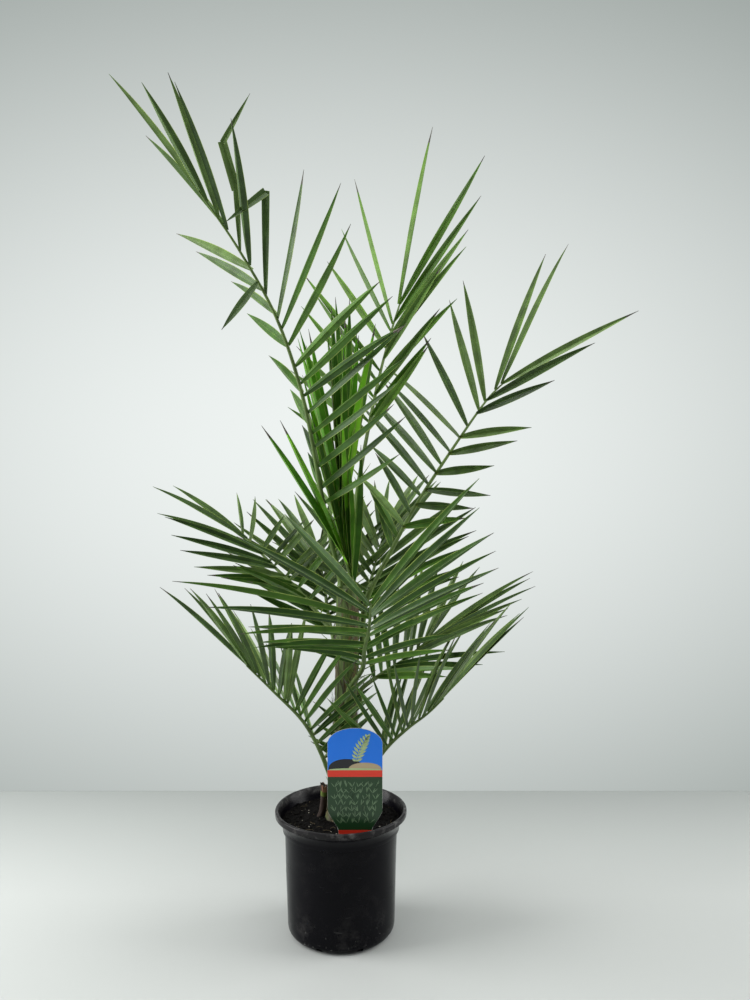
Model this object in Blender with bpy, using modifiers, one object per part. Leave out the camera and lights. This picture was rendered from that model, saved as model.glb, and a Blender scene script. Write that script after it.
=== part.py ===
"""A young Canary Island date palm in a plastic nursery pot.

Metres, +Z up. The origin is the centre of the pot's flat underside, and the side of the plant
with the label faces -Y. Run with: blender --background --python part.py
"""

import math

import bmesh
import bpy
import numpy as np
from mathutils.bvhtree import BVHTree

GAP = 0.0003  # between pieces that touch in life

# Pot: a thin plastic nursery pot whose collar flares out to the rim.
POT_HEIGHT = 0.145
RIM_RADIUS = 0.075
RIM_WIDTH = 0.0036
RIM_DEPTH = 0.0072
FLARE_DEPTH = 0.0185  # from the top down to where the flare begins
COLLAR_RADIUS = 0.0665
COLLAR_DEPTH = 0.024
BODY_TOP_RADIUS = 0.0640
BODY_FOOT_RADIUS = 0.0612
FOOT_ROUNDING = 0.010
WALL = 0.0016
FLOOR = 0.0020
POT_SIDES = 48
DRAIN_SLOTS = 8
DRAIN_WIDTH = 0.007

# Compost: fills the pot to just under the rim.
SOIL_TOP = 0.1310
SOIL_CROWN = 0.0015  # how far it rises round the stem

# Stem: the clasping leaf bases, from the compost to the fork where the top fronds part.
FORK_HEIGHT = 0.400
STEM_LEAN = 0.008  # how far it drifts towards +X on the way up
STEM_FOOT_RADIUS = 0.0195
STEM_RADIUS = 0.0140
STEM_TOP_RADIUS = 0.0128
FLARE_HEIGHT = 0.030

# The stub of a frond that was cut away, low on the stem.
STUB_AZIMUTH = 168
STUB_FOOT = 0.1390
STUB_TOP = 0.1740
STUB_RADIUS = 0.0042

# Label: a flat tapered stake with an arched top, pushed in at the front of the pot.
LABEL_WIDTH = 0.0600
LABEL_FOOT_WIDTH = 0.030
LABEL_TOP = 0.2545
LABEL_SHOULDER = 0.2370  # where the arch springs
LABEL_TAPER = 0.1610  # where the sides begin to close
LABEL_FOOT = 0.1000
LABEL_THICKNESS = 0.0011
LABEL_PLACE = (0.0172, -0.0500)

# Petioles and leaflets.
PETIOLE_RADIUS = 0.0031
RIB_TIP_RADIUS = 0.0009
RIB_STEPS = 16
RIB_CROWDING = 1.25  # above 1, the steps are closer together at the foot
RIB_TAPER = 0.8  # below 1, the rib keeps its thickness further up
PETIOLE_ROOM = 1.15  # times its radius, from its line to what it lies against
LAST_LEAFLET = 0.97  # share of the rib
LEAFLET_THICKNESS = 0.16  # share of the width
CREASE_WIDTHS = {2: (0.8, 0.0), 3: (0.8, 0.9, 0.0), 4: (0.6, 0.9, 0.6, 0.0)}  # at each end, of the width
CREASE_OVERLAP = 0.004  # how far one stretch of a creased leaflet runs past its crease
JITTER = {"angle": 6.0, "lift": 7.0, "length": 0.08, "twist": 18.0, "place": 0.32}
# Ways to bend a leaflet clear of another frond: added angle, added lift, share of its length.
DETOURS = (
    (0, 0, 1), (6, 0, 1), (-6, 0, 1), (0, 9, 1), (0, -9, 1), (7, 9, 1), (-7, -9, 1),
    (13, 0, 1), (-13, 0, 1), (0, 18, 1), (0, -18, 1), (0, 0, 0.75), (10, 14, 0.75),
    (-10, -14, 0.75), (0, 0, 0.5),
)


def fan(count, first, angle, lift, length, twist=30):
    """One rank of leaflets. angle (from the rib), lift (out of the frond's plane) and length are each
    given at even steps from the first leaflet to the rib's tip; first is a share of the rib."""
    return {"count": count, "first": first, "angle": angle, "lift": lift, "length": length, "twist": twist}


# Each frond: (azimuth, height) of its foot on the stem, or None at the fork, then the places
# that its rib passes through, and its two ranks of leaflets.
FRONDS = {
    "frond_upper_left": {
        "foot": (200, None),
        "rib": [(-0.017, -0.010, 0.490), (-0.037, -0.025, 0.605), (-0.064, -0.040, 0.693),
                (-0.102, -0.055, 0.764), (-0.140, -0.070, 0.820)],
        "left": fan(19, 0.22, (62, 66, 68, 46, 34, 16), (25, 25, 24, 22, 14, 30),
                    (0.130, 0.155, 0.172, 0.186, 0.150, 0.136), (20, 20, 10, 0, -20, -30)),
        "right": fan(10, 0.26, (50, 56, 60, 58, 50, 10), (8, 12, 6, 2, 2, 16),
                     (0.060, 0.075, 0.095, 0.120, 0.145, 0.155)),
        "seed": 1, "droop": 0.04, "width": 0.0102,
        # Damaged leaflets of the left rank, by number, with the places of their creases and tip.
        "creased": {
            12: [(-0.071, -0.078, 0.817), (-0.110, -0.095, 0.784)],
            13: [(-0.118, -0.075, 0.680)],
            15: [(-0.102, -0.068, 0.821), (-0.114, -0.075, 0.866), (-0.085, -0.085, 0.911)],
        },
    },
    "frond_right": {
        "foot": (8, 0.322),
        "rib": [(0.030, 0.006, 0.385), (0.056, 0.015, 0.437), (0.087, 0.030, 0.492),
                (0.131, 0.050, 0.557), (0.170, 0.068, 0.610), (0.196, 0.080, 0.635)],
        "left": fan(15, 0.34, (58, 66, 68, 70, 46, 20), (6, 14, 28, 30, 38, 85),
                    (0.120, 0.150, 0.165, 0.175, 0.185, 0.215), -36),
        "right": fan(9, 0.42, (70, 76, 68, 60, 18), (-12, -12, -12, -12, -14),
                     (0.085, 0.095, 0.090, 0.105, 0.174), 52),
        "seed": 2, "droop": 0.04, "width": 0.0098,
    },
    "frond_upper_back": {
        "foot": (60, None),
        "rib": [(0.018, 0.035, 0.500), (0.038, 0.075, 0.610), (0.055, 0.105, 0.680), (0.072, 0.128, 0.736)],
        "left": fan(10, 0.42, (60, 54, 48, 46, 42, 24), (15, 18, 20, 22, 30, 108),
                    (0.120, 0.140, 0.155, 0.160, 0.160, 0.215)),
        "right": fan(9, 0.50, (36, 34, 32, 28, 24, 16), (15, 12, 10, 8, 10, 20),
                     (0.120, 0.130, 0.135, 0.150, 0.170, 0.210)),
        "seed": 3, "droop": 0.04, "width": 0.0093,
    },
    "spear": {
        "foot": (300, None),
        "rib": [(0.001, -0.004, 0.455), (-0.001, 0.002, 0.505), (0.000, 0.010, 0.550)],
        "left": fan(16, 0.04, (9, 13, 13, 8), (10, 10, 10, 10), (0.160, 0.190, 0.200, 0.175), -12),
        "right": fan(16, 0.06, (9, 13, 13, 8), (10, 10, 10, 10), (0.155, 0.190, 0.195, 0.165), 12),
        "seed": 34, "droop": 0.01, "width": 0.0115, "scatter": 11,
    },
    "frond_mid_left": {
        "foot": (150, 0.325),
        "rib": [(-0.048, 0.040, 0.387), (-0.080, 0.060, 0.414), (-0.104, 0.075, 0.435), (-0.125, 0.088, 0.452)],
        "left": fan(11, 0.32, (60, 68, 66, 40, 14), (10, 6, 2, 0, 0), (0.100, 0.125, 0.135, 0.130, 0.120)),
        "right": fan(9, 0.36, (66, 72, 68, 60, 36), (20, 20, 20, 20, 20), (0.110, 0.120, 0.110, 0.090, 0.080), 40),
        "seed": 5, "droop": 0.06, "width": 0.0085,
    },
    "frond_low_left": {
        "foot": (235, 0.150),
        "rib": [(-0.0150, -0.030, 0.205), (-0.037, -0.045, 0.257), (-0.072, -0.062, 0.301), (-0.096, -0.078, 0.331)],
        "left": fan(16, 0.32, (74, 68, 60, 50, 30, 10), (66, 60, 50, 38, 34, 30),
                    (0.080, 0.095, 0.115, 0.130, 0.130, 0.145), -36),
        "right": fan(10, 0.46, (60, 62, 54, 40, 14), (30, 38, 40, 38, 20), (0.090, 0.110, 0.120, 0.125, 0.140)),
        "seed": 6, "droop": 0.06, "width": 0.0075,
    },
    "frond_low_right": {
        "foot": (342, 0.150),
        "rib": [(0.049, -0.022, 0.219), (0.073, -0.036, 0.248), (0.096, -0.048, 0.270), (0.113, -0.055, 0.289)],
        "left": fan(11, 0.40, (60, 60, 50, 30, 12), (35, 40, 38, 30, 20), (0.100, 0.120, 0.135, 0.145, 0.150), -32),
        "right": fan(16, 0.24, (80, 70, 54, 36, 14), (64, 56, 48, 40, 20), (0.075, 0.105, 0.125, 0.140, 0.155)),
        "seed": 7, "droop": 0.06, "width": 0.0075,
    },
    "frond_front": {
        "foot": (283, 0.270),
        "rib": [(0.025, -0.040, 0.317), (0.028, -0.085, 0.350), (0.033, -0.130, 0.382), (0.035, -0.185, 0.418)],
        "left": fan(10, 0.30, (60, 56, 52, 47, 42, 40), (4, 8, 12, 16, 24, 36),
                    (0.100, 0.130, 0.150, 0.165, 0.165, 0.165)),
        "right": fan(11, 0.30, (64, 68, 72, 74, 66, 30), (5, 5, 4, 4, 10, 30),
                     (0.100, 0.110, 0.120, 0.140, 0.182, 0.165)),
        "seed": 8, "droop": 0.06, "width": 0.0092,
    },
    "frond_mid_right": {
        "foot": (20, 0.262),
        "rib": [(0.045, 0.018, 0.295), (0.080, 0.036, 0.313), (0.104, 0.052, 0.330)],
        "left": fan(9, 0.32, (66, 58, 50, 34, 12), (25, 30, 32, 28, 20), (0.110, 0.130, 0.150, 0.150, 0.140), -34),
        "right": fan(10, 0.34, (56, 54, 46, 34, 18), (-3, 2, 10, 12, 8), (0.100, 0.125, 0.145, 0.150, 0.155)),
        "seed": 9, "droop": 0.06, "width": 0.0083,
    },
    "frond_back_left": {
        "foot": (112, 0.285),
        "rib": [(-0.014, 0.055, 0.345), (-0.024, 0.105, 0.388), (-0.034, 0.158, 0.418)],
        "left": fan(12, 0.34, (66, 64, 52, 34, 12), (16, 20, 25, 28, 30), (0.120, 0.140, 0.150, 0.140, 0.130)),
        "right": fan(12, 0.32, (66, 64, 52, 34, 12), (16, 20, 25, 28, 30), (0.120, 0.140, 0.150, 0.140, 0.130)),
        "seed": 10, "droop": 0.06, "width": 0.0092,
    },
    "frond_back_right": {
        "foot": (66, 0.300),
        "rib": [(0.026, 0.058, 0.365), (0.040, 0.110, 0.412), (0.052, 0.160, 0.445)],
        "left": fan(12, 0.32, (66, 64, 52, 34, 12), (16, 20, 25, 28, 30), (0.120, 0.140, 0.150, 0.140, 0.130)),
        "right": fan(12, 0.34, (66, 64, 52, 34, 12), (16, 20, 25, 28, 30), (0.120, 0.140, 0.150, 0.140, 0.130)),
        "seed": 11, "droop": 0.06, "width": 0.0095,
    },
}


# ---------------------------------------------------------------- scene and materials


def clear_scene():
    for obj in list(bpy.data.objects):
        bpy.data.objects.remove(obj, do_unlink=True)


def collection(name):
    made = bpy.data.collections.new(name)
    bpy.context.scene.collection.children.link(made)
    return made


def material(name, colour, roughness):
    made = bpy.data.materials.new(name)
    made.use_nodes = True
    shader = made.node_tree.nodes["Principled BSDF"]
    shader.inputs["Base Color"].default_value = (*colour, 1)
    shader.inputs["Roughness"].default_value = roughness
    shader.inputs["Metallic"].default_value = 0
    made.diffuse_color = (*colour, 1)
    return made


def add_object(name, mesh, place, finish=None):
    obj = bpy.data.objects.new(name, mesh)
    place.objects.link(obj)
    if finish:
        mesh.materials.append(finish)
    return obj


def mesh_of(points, faces, name="part"):
    mesh = bpy.data.meshes.new(name)
    mesh.from_pydata([tuple(p) for p in points], [], faces)
    mesh.update()
    return mesh


def applied(obj, weld=True):
    """The object with its modifiers, or its curve, made a plain mesh, with its caps or seam welded."""
    bpy.context.view_layer.update()
    graph = bpy.context.evaluated_depsgraph_get()
    mesh = bpy.data.meshes.new_from_object(obj.evaluated_get(graph))
    work = bmesh.new()
    work.from_mesh(mesh)
    if weld:
        bmesh.ops.remove_doubles(work, verts=work.verts, dist=1e-6)
        bmesh.ops.recalc_face_normals(work, faces=work.faces)
    work.to_mesh(mesh)
    work.free()
    name, place, finish = obj.name, obj.users_collection[0], list(obj.data.materials)
    bpy.data.objects.remove(obj, do_unlink=True)
    made = add_object(name, mesh, place)
    mesh.materials.clear()
    for each in finish:
        mesh.materials.append(each)
    return made


def joined(obj, helpers, operation, solver):
    """obj joined with, or cut by, every object of a collection, which is then emptied."""
    boolean = obj.modifiers.new("join", "BOOLEAN")
    boolean.operation = operation
    boolean.operand_type = "COLLECTION"
    boolean.collection = helpers
    boolean.solver = solver
    made = applied(obj, weld=False)
    for helper in list(helpers.objects):
        bpy.data.objects.remove(helper, do_unlink=True)
    return made


def turned(name, profile, place, finish, sides=POT_SIDES):
    """A solid turned round Z, from a profile of (radius, height) that starts and ends on the axis."""
    mesh = mesh_of([(r, 0, z) for r, z in profile], [])
    mesh.from_pydata([], [(k, k + 1) for k in range(len(profile) - 1)], [])
    obj = add_object(name, mesh, place, finish)
    screw = obj.modifiers.new("turn", "SCREW")
    screw.steps = screw.render_steps = sides
    screw.use_merge_vertices = True
    screw.merge_threshold = 0.0001
    return obj


def arc(centre, radius, start, end, steps):
    """Points of an arc in a profile, angles in degrees from +radius towards +height."""
    turn = [math.radians(start + (end - start) * k / steps) for k in range(steps + 1)]
    return [(centre[0] + radius * math.cos(a), centre[1] + radius * math.sin(a)) for a in turn]


# ---------------------------------------------------------------- pot, compost, stem and label


def body_radius(height):
    """Outer radius of the pot's body at a height, below the collar."""
    share = height / (POT_HEIGHT - COLLAR_DEPTH)
    return BODY_FOOT_RADIUS + (BODY_TOP_RADIUS - BODY_FOOT_RADIUS) * share


def inner_radius(height):
    """Inner radius of the pot's wall at a height: it steps out at the collar, then flares to the rim."""
    if height <= POT_HEIGHT - COLLAR_DEPTH:
        return body_radius(height) - WALL
    flared = max(0.0, 1 - (POT_HEIGHT - height) / FLARE_DEPTH)
    return COLLAR_RADIUS - WALL + flared * (RIM_RADIUS - RIM_WIDTH - COLLAR_RADIUS + WALL)


def pot(place, finish):
    collar_foot = POT_HEIGHT - COLLAR_DEPTH
    step = 0.0015  # height of the slope between collar and body
    flare_foot = POT_HEIGHT - FLARE_DEPTH
    lip = 0.0010  # rounding of the rim
    inside = [(0, FLOOR), (BODY_FOOT_RADIUS - WALL - FOOT_ROUNDING, FLOOR)]
    inside += arc((BODY_FOOT_RADIUS - WALL - FOOT_ROUNDING, FLOOR + FOOT_ROUNDING), FOOT_ROUNDING, -60, 0, 2)
    inside += [(inner_radius(collar_foot), collar_foot), (COLLAR_RADIUS - WALL, collar_foot + step)]
    inside += [(COLLAR_RADIUS - WALL, flare_foot), (inner_radius(POT_HEIGHT - lip), POT_HEIGHT - lip)]
    rim = [(RIM_RADIUS - RIM_WIDTH + lip, POT_HEIGHT), (RIM_RADIUS - lip, POT_HEIGHT), (RIM_RADIUS, POT_HEIGHT - lip)]
    rim += [(RIM_RADIUS, POT_HEIGHT - RIM_DEPTH + lip), (RIM_RADIUS - lip, POT_HEIGHT - RIM_DEPTH)]
    outside = [(COLLAR_RADIUS, flare_foot), (COLLAR_RADIUS, collar_foot + step / 2)]
    outside += [(body_radius(collar_foot), collar_foot - step / 2)]
    outside += arc((BODY_FOOT_RADIUS - FOOT_ROUNDING, FOOT_ROUNDING), FOOT_ROUNDING, 0, -90, 5)
    shell = applied(turned("pot", inside + rim + outside + [(0, 0)], place, finish))
    cutters = collection("drain_slots")
    for k in range(DRAIN_SLOTS):
        turn = math.tau * (k + 0.5) / DRAIN_SLOTS
        reach = BODY_FOOT_RADIUS
        bpy.ops.mesh.primitive_cube_add(
            size=1,
            location=(reach * math.cos(turn), reach * math.sin(turn), FOOT_ROUNDING * 0.35),
            rotation=(0, 0, turn),
            scale=(FOOT_ROUNDING * 1.3, DRAIN_WIDTH, FOOT_ROUNDING * 0.55),
        )
        cutter = bpy.context.object
        bpy.context.collection.objects.unlink(cutter)
        cutters.objects.link(cutter)
    return joined(shell, cutters, "DIFFERENCE", "EXACT")


def soil(place, finish, label_solid):
    floor = FLOOR + GAP
    collar_foot = POT_HEIGHT - COLLAR_DEPTH
    foot = BODY_FOOT_RADIUS - WALL - FOOT_ROUNDING
    profile = [(0, SOIL_TOP + SOIL_CROWN), (STEM_FOOT_RADIUS + 0.004, SOIL_TOP + SOIL_CROWN)]
    profile += [(0.040, SOIL_TOP), (inner_radius(SOIL_TOP - 0.001) - GAP, SOIL_TOP - 0.001)]
    profile += [(COLLAR_RADIUS - WALL - GAP, POT_HEIGHT - FLARE_DEPTH - GAP)]
    profile += [(COLLAR_RADIUS - WALL - GAP, collar_foot + 0.0025), (inner_radius(collar_foot) - GAP, collar_foot)]
    profile += arc((foot, floor + FOOT_ROUNDING), FOOT_ROUNDING - 2 * GAP, 0, -60, 2)
    profile += [(foot, floor + GAP), (0, floor + GAP)]
    body = applied(turned("soil", profile, place, finish, 32))
    cutters = collection("label_slot")
    slot = add_object("slot", label_solid.data.copy(), cutters)
    slot.scale = (1 + 2 * GAP / LABEL_FOOT_WIDTH, 1 + 2 * GAP / LABEL_THICKNESS, 1)
    slot.location = (
        LABEL_PLACE[0] * (1 - slot.scale[0]),
        LABEL_PLACE[1] * (1 - slot.scale[1]),
        -2 * GAP,
    )
    return joined(body, cutters, "DIFFERENCE", "EXACT")


def stem_at(height):
    """Centre and radius of the stem at a height above the pot's underside."""
    ground = SOIL_TOP + SOIL_CROWN
    share = (height - ground) / (FORK_HEIGHT - ground)
    sway = STEM_LEAN * math.sin(min(share, 1) * math.pi / 2)
    above = height - ground
    flare = (STEM_FOOT_RADIUS - STEM_RADIUS) * max(0.0, 1 - above / FLARE_HEIGHT) ** 2
    radius = STEM_RADIUS + (STEM_TOP_RADIUS - STEM_RADIUS) * share + flare
    return np.array([sway, 0.25 * sway, height]), radius


def tube(name, points, radii, place, finish, resolution):
    """A tapering round bar along the points, with flat ends."""
    curve = bpy.data.curves.new(name, "CURVE")
    curve.dimensions = "3D"
    curve.bevel_depth = 1.0
    curve.bevel_resolution = resolution
    curve.use_fill_caps = True
    spline = curve.splines.new("POLY")
    spline.points.add(len(points) - 1)
    for knot, centre, radius in zip(spline.points, points, radii):
        knot.co = (*centre, 1)
        knot.radius = radius
    obj = bpy.data.objects.new(name, curve)
    place.objects.link(obj)
    curve.materials.append(finish)
    return applied(obj)


def stem(place, finish):
    ground = SOIL_TOP + SOIL_CROWN + GAP
    heights = [ground + FLARE_HEIGHT * k / 5 for k in range(6)]
    heights += [ground + FLARE_HEIGHT + (FORK_HEIGHT - ground - FLARE_HEIGHT) * k / 9 for k in range(1, 10)]
    rings = [stem_at(h) for h in heights]
    points = [centre for centre, _ in rings]
    points[1][:2] = points[0][:2]  # the cut at the ground is level
    points[-1][:2] = points[-2][:2]  # and so is the fork
    return tube("stem", points, [radius for _, radius in rings], place, finish, 6)


def cut_leaf_base(place, finish):
    """The stub of a frond that was cut away, beside the stem's foot."""
    turn = math.radians(STUB_AZIMUTH)
    outward = np.array([math.cos(turn), math.sin(turn), 0])
    points = []
    for height in (STUB_FOOT, (STUB_FOOT + STUB_TOP) / 2, STUB_TOP):
        centre, radius = stem_at(height)
        splay = 0.004 * (height - STUB_FOOT) / (STUB_TOP - STUB_FOOT)
        points.append(centre + outward * (radius + STUB_RADIUS * PETIOLE_ROOM + GAP + splay))
    points[0][:2] = points[1][:2] + outward[:2] * 0.001
    return tube("cut_leaf_base", points, [STUB_RADIUS] * 3, place, finish, 1)


def label(place, finish):
    """The stake's outline, drawn upright at its place and given its thickness."""
    half, foot = LABEL_WIDTH / 2, LABEL_FOOT_WIDTH / 2
    rise = LABEL_TOP - LABEL_SHOULDER
    outline = [(-foot * 0.3, LABEL_FOOT), (foot * 0.3, LABEL_FOOT), (foot, LABEL_FOOT + 0.012)]
    outline += [(foot * 1.25, LABEL_TAPER - 0.019), (half * 0.84, LABEL_TAPER - 0.009), (half, LABEL_TAPER)]
    arch = [math.pi * k / 14 for k in range(15)]
    outline += [(half * math.cos(a), LABEL_SHOULDER + rise * math.sin(a)) for a in arch]
    outline += [(-half, LABEL_TAPER), (-half * 0.84, LABEL_TAPER - 0.009), (-foot * 1.25, LABEL_TAPER - 0.019)]
    outline += [(-foot, LABEL_FOOT + 0.012)]
    curve = bpy.data.curves.new("label", "CURVE")
    curve.dimensions = "2D"
    curve.fill_mode = "BOTH"
    curve.extrude = LABEL_THICKNESS / 2
    spline = curve.splines.new("POLY")
    spline.points.add(len(outline) - 1)
    for knot, (x, z) in zip(spline.points, outline):
        knot.co = (x, z, 0, 1)
    spline.use_cyclic_u = True
    obj = bpy.data.objects.new("label", curve)
    place.objects.link(obj)
    curve.materials.append(finish)
    flat = applied(obj)
    for vertex in flat.data.vertices:
        x, z, depth = vertex.co
        vertex.co = (LABEL_PLACE[0] + x, LABEL_PLACE[1] - depth, z)
    return flat


# ---------------------------------------------------------------- fronds


def unit(vector):
    return vector / np.linalg.norm(vector)


def along(points, share):
    """A smooth curve through the points (Catmull-Rom), at a share of its length."""
    steps = np.cumsum([0] + [np.linalg.norm(b - a) for a, b in zip(points, points[1:])])
    steps /= steps[-1]
    k = max(0, min(int(np.searchsorted(steps, share, side="right")) - 1, len(points) - 2))
    u = (share - steps[k]) / (steps[k + 1] - steps[k])
    b, c = points[k], points[k + 1]
    a = points[k - 1] if k else 2 * b - c
    d = points[k + 2] if k + 2 < len(points) else 2 * c - b
    return 0.5 * (2 * b + (c - a) * u + (2 * a - 5 * b + 4 * c - d) * u**2 + (3 * b - a - 3 * c + d) * u**3)


def rib_points(frond):
    """The rib's places: its foot lies against the stem, or stands on the fork, and runs up first."""
    azimuth, height = frond["foot"]
    turn = math.radians(azimuth)
    outward = np.array([math.cos(turn), math.sin(turn), 0])
    if height is None:
        centre, radius = stem_at(FORK_HEIGHT)
        low = centre + outward * (radius - PETIOLE_RADIUS * PETIOLE_ROOM)
        low[2] = FORK_HEIGHT + 3 * GAP
        high = low + np.array([0, 0, 0.012])
    else:
        centre, radius = stem_at(height)
        low = centre + outward * (radius + PETIOLE_RADIUS * PETIOLE_ROOM + GAP)
        centre, radius = stem_at(height + 0.018)
        high = centre + outward * (radius + PETIOLE_RADIUS * PETIOLE_ROOM + 2 * GAP)
    return [low, high] + [np.array(p) for p in frond["rib"]]


def frame_at(points, share):
    """Direction of the rib, the frond's upper side and its right-hand side."""
    direction = unit(along(points, min(share + 0.01, 1)) - along(points, max(share - 0.01, 0)))
    lean = points[-1] - points[0]
    lean[2] = 0
    up = np.array([0, 0, 1.0]) - unit(lean)
    upper = unit(up - direction * (up @ direction))
    return direction, upper, np.cross(direction, upper)


def blend(knots, share):
    """The value at a share of the rank, between knots spaced evenly from its first leaflet to its tip."""
    return float(np.interp(share, np.linspace(0, 1, len(knots)), knots))


def turned_about(vector, axis, degrees):
    turn = math.radians(degrees)
    return vector * math.cos(turn) + np.cross(axis, vector) * math.sin(turn)


def leaflet_plans(frond, points):
    """Each leaflet's foot on the rib, its frame there, and its own angle, lift, length and twist."""
    chance = np.random.default_rng(frond["seed"])
    plans = []
    for sign, rank in ((1, frond["right"]), (-1, frond["left"])):
        for k in range(rank["count"]):
            share = k / (rank["count"] - 1)
            stray = chance.uniform(-1, 1, 5)
            stride = (LAST_LEAFLET - rank["first"]) / (rank["count"] - 1)
            inner = 0 < k < rank["count"] - 1
            place = rank["first"] + stride * (k + JITTER["place"] * stray[4] * inner)
            direction, upper, side = frame_at(points, place)
            creased = frond.get("creased", {}).get(k) if sign < 0 else None
            plans.append({
                "creases": creased and [along(points, place)] + [np.array(p) for p in creased],
                "width": frond["width"],
                "foot": along(points, place),
                "direction": direction,
                "upper": upper,
                "side": side * sign,
                "sign": sign,
                "angle": blend(rank["angle"], share) + JITTER["angle"] * stray[0],
                "lift": blend(rank["lift"], share) + JITTER["lift"] * frond.get("scatter", 1) * stray[1],
                "length": blend(rank["length"], share) * (1 + JITTER["length"] * stray[2]),
                "twist": blend(np.atleast_1d(rank["twist"]), share) + JITTER["twist"] * stray[3],
                "droop": frond["droop"],
            })
    return plans


def leaflet_line(plan, detour, share):
    """A point of the leaflet's midrib, and the blade's upper side there."""
    angle = math.radians(plan["angle"] + detour[0])
    lift = math.radians(plan["lift"] + detour[1])
    length = plan["length"] * detour[2]
    away = plan["side"] * math.cos(lift) + plan["upper"] * math.sin(lift)
    heading = unit(plan["direction"] * math.cos(angle) + away * math.sin(angle))
    place = plan["foot"] + heading * length * share
    place[2] -= plan["droop"] * length * share**2
    upper = unit(plan["upper"] - heading * (plan["upper"] @ heading))
    return place, heading, turned_about(upper, heading, plan["twist"] * plan["sign"])


LEAFLET_STATIONS = ((0.0, 0.34), (0.42, 1.0))  # share of the length, of the width


def leaflet_mesh(plan, detour, swell=0.0):
    """Points and faces of a leaflet: a spindle whose section is a flat triangle with its keel below."""
    points, faces = [], []
    for share, width in LEAFLET_STATIONS:
        centre, heading, upper = leaflet_line(plan, detour, share)
        across = np.cross(heading, upper)
        half = plan["width"] * width / 2 + swell
        keel = plan["width"] * LEAFLET_THICKNESS * max(width, 0.6) + swell
        edge = centre + upper * swell
        points += [edge + across * half, edge - across * half, centre - upper * keel]
    points.append(leaflet_line(plan, detour, 1.0)[0])
    for row in range(len(LEAFLET_STATIONS) - 1):
        for k in range(3):
            a, b = 3 * row + k, 3 * row + (k + 1) % 3
            faces.append((a, a + 3, b + 3, b))
    top = 3 * (len(LEAFLET_STATIONS) - 1)
    faces += [(top + k, top + 3, top + (k + 1) % 3) for k in range(3)]
    faces.append((0, 1, 2))
    return points, faces


def crease_meshes(plan):
    """The stretches of a creased leaflet, each a straight blade that faces out of the plant."""
    knees = plan["creases"]
    widths = CREASE_WIDTHS[len(knees)]
    stretches = []
    for k, (start, end) in enumerate(zip(knees, knees[1:])):
        heading = unit(end - start)
        last = k == len(knees) - 2
        face = np.array([0.0, -1.0, 0.0])
        upper = unit(face - heading * (face @ heading))
        across = np.cross(heading, upper)
        points = []
        for centre, width in ((start, widths[k]), (end + heading * CREASE_OVERLAP, widths[k + 1])):
            half = plan["width"] * width / 2
            points += [centre + across * half, centre - across * half]
            points.append(centre - upper * plan["width"] * LEAFLET_THICKNESS * max(width, 0.6))
        faces = [(0, 1, 2)]
        if last:
            points = points[:3] + [end]
            faces += [(k3, 3, (k3 + 1) % 3) for k3 in range(3)]
        else:
            faces += [(k3, k3 + 3, (k3 + 1) % 3 + 3, (k3 + 1) % 3) for k3 in range(3)] + [(5, 4, 3)]
        stretches.append((points, faces))
    return stretches


def tree_of(points, faces):
    return BVHTree.FromPolygons([tuple(p) for p in points], faces)


def tree_of_object(obj):
    return tree_of([v.co for v in obj.data.vertices], [tuple(p.vertices) for p in obj.data.polygons])


def placed_leaflets(plans, obstacles):
    """The leaflets that keep clear of the obstacles, each by the first detour that does."""
    placed = []
    for plan in plans:
        if plan["creases"]:
            placed.append((plan, DETOURS[0]))
            continue
        for detour in DETOURS:
            shell = tree_of(*leaflet_mesh(plan, detour, swell=2 * GAP))
            if not any(shell.overlap(other) for other in obstacles):
                placed.append((plan, detour))
                break
    return placed


def off_stem(point, radius):
    """The point, moved straight out where a petiole of this radius would press into the stem."""
    if point[2] > FORK_HEIGHT:
        return point
    centre, stem_radius = stem_at(point[2])
    away = point - centre
    least = stem_radius + radius * PETIOLE_ROOM + GAP
    return point if np.linalg.norm(away) >= least else centre + unit(away) * least


def rib(name, points, place, finish):
    shares = [(k / (RIB_STEPS - 1)) ** RIB_CROWDING for k in range(RIB_STEPS)]
    radii = [RIB_TIP_RADIUS + (PETIOLE_RADIUS - RIB_TIP_RADIUS) * (1 - s) ** RIB_TAPER for s in shares]
    line = [off_stem(along(points, s), r) for s, r in zip(shares, radii)]
    return tube(name, line, radii, place, finish, 1)


def fronds(place, finish, solids):
    """Every rib first, then each frond's leaflets, kept clear of all that isn't its own."""
    routes = {name: rib_points(frond) for name, frond in FRONDS.items()}
    ribs = {name: rib(name, points, place, finish) for name, points in routes.items()}
    rib_trees = {name: tree_of_object(obj) for name, obj in ribs.items()}
    fixed = [tree_of_object(obj) for obj in solids]
    helpers = collection("leaflets")
    done = []
    for name, frond in FRONDS.items():
        others = [tree for other, tree in rib_trees.items() if other != name]
        plans = leaflet_plans(frond, routes[name])
        placed = placed_leaflets(plans, fixed + others + done)
        for plan, detour in placed:
            for points, faces in crease_meshes(plan) if plan["creases"] else [leaflet_mesh(plan, detour)]:
                add_object("leaflet", mesh_of(points, faces), helpers, finish)
                done.append(tree_of(points, faces))
        print(name, len(placed), "of", len(plans), "leaflets")
        joined(ribs[name], helpers, "UNION", "MANIFOLD")


def main():
    clear_scene()
    place = collection("potted_date_palm")
    plastic = material("pot_plastic", (0.012, 0.012, 0.014), 0.35)
    compost = material("compost", (0.020, 0.014, 0.009), 0.95)
    bark = material("leaf_bases", (0.11, 0.10, 0.035), 0.7)
    dry = material("dry_leaf_base", (0.30, 0.19, 0.11), 0.8)
    green = material("frond", (0.050, 0.110, 0.025), 0.45)
    card = material("label_card", (0.05, 0.16, 0.55), 0.4)
    solids = [pot(place, plastic)]
    solids.append(label(place, card))
    solids.append(soil(place, compost, solids[-1]))
    solids.append(stem(place, bark))
    solids.append(cut_leaf_base(place, dry))
    fronds(place, green, solids)


main()
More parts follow.
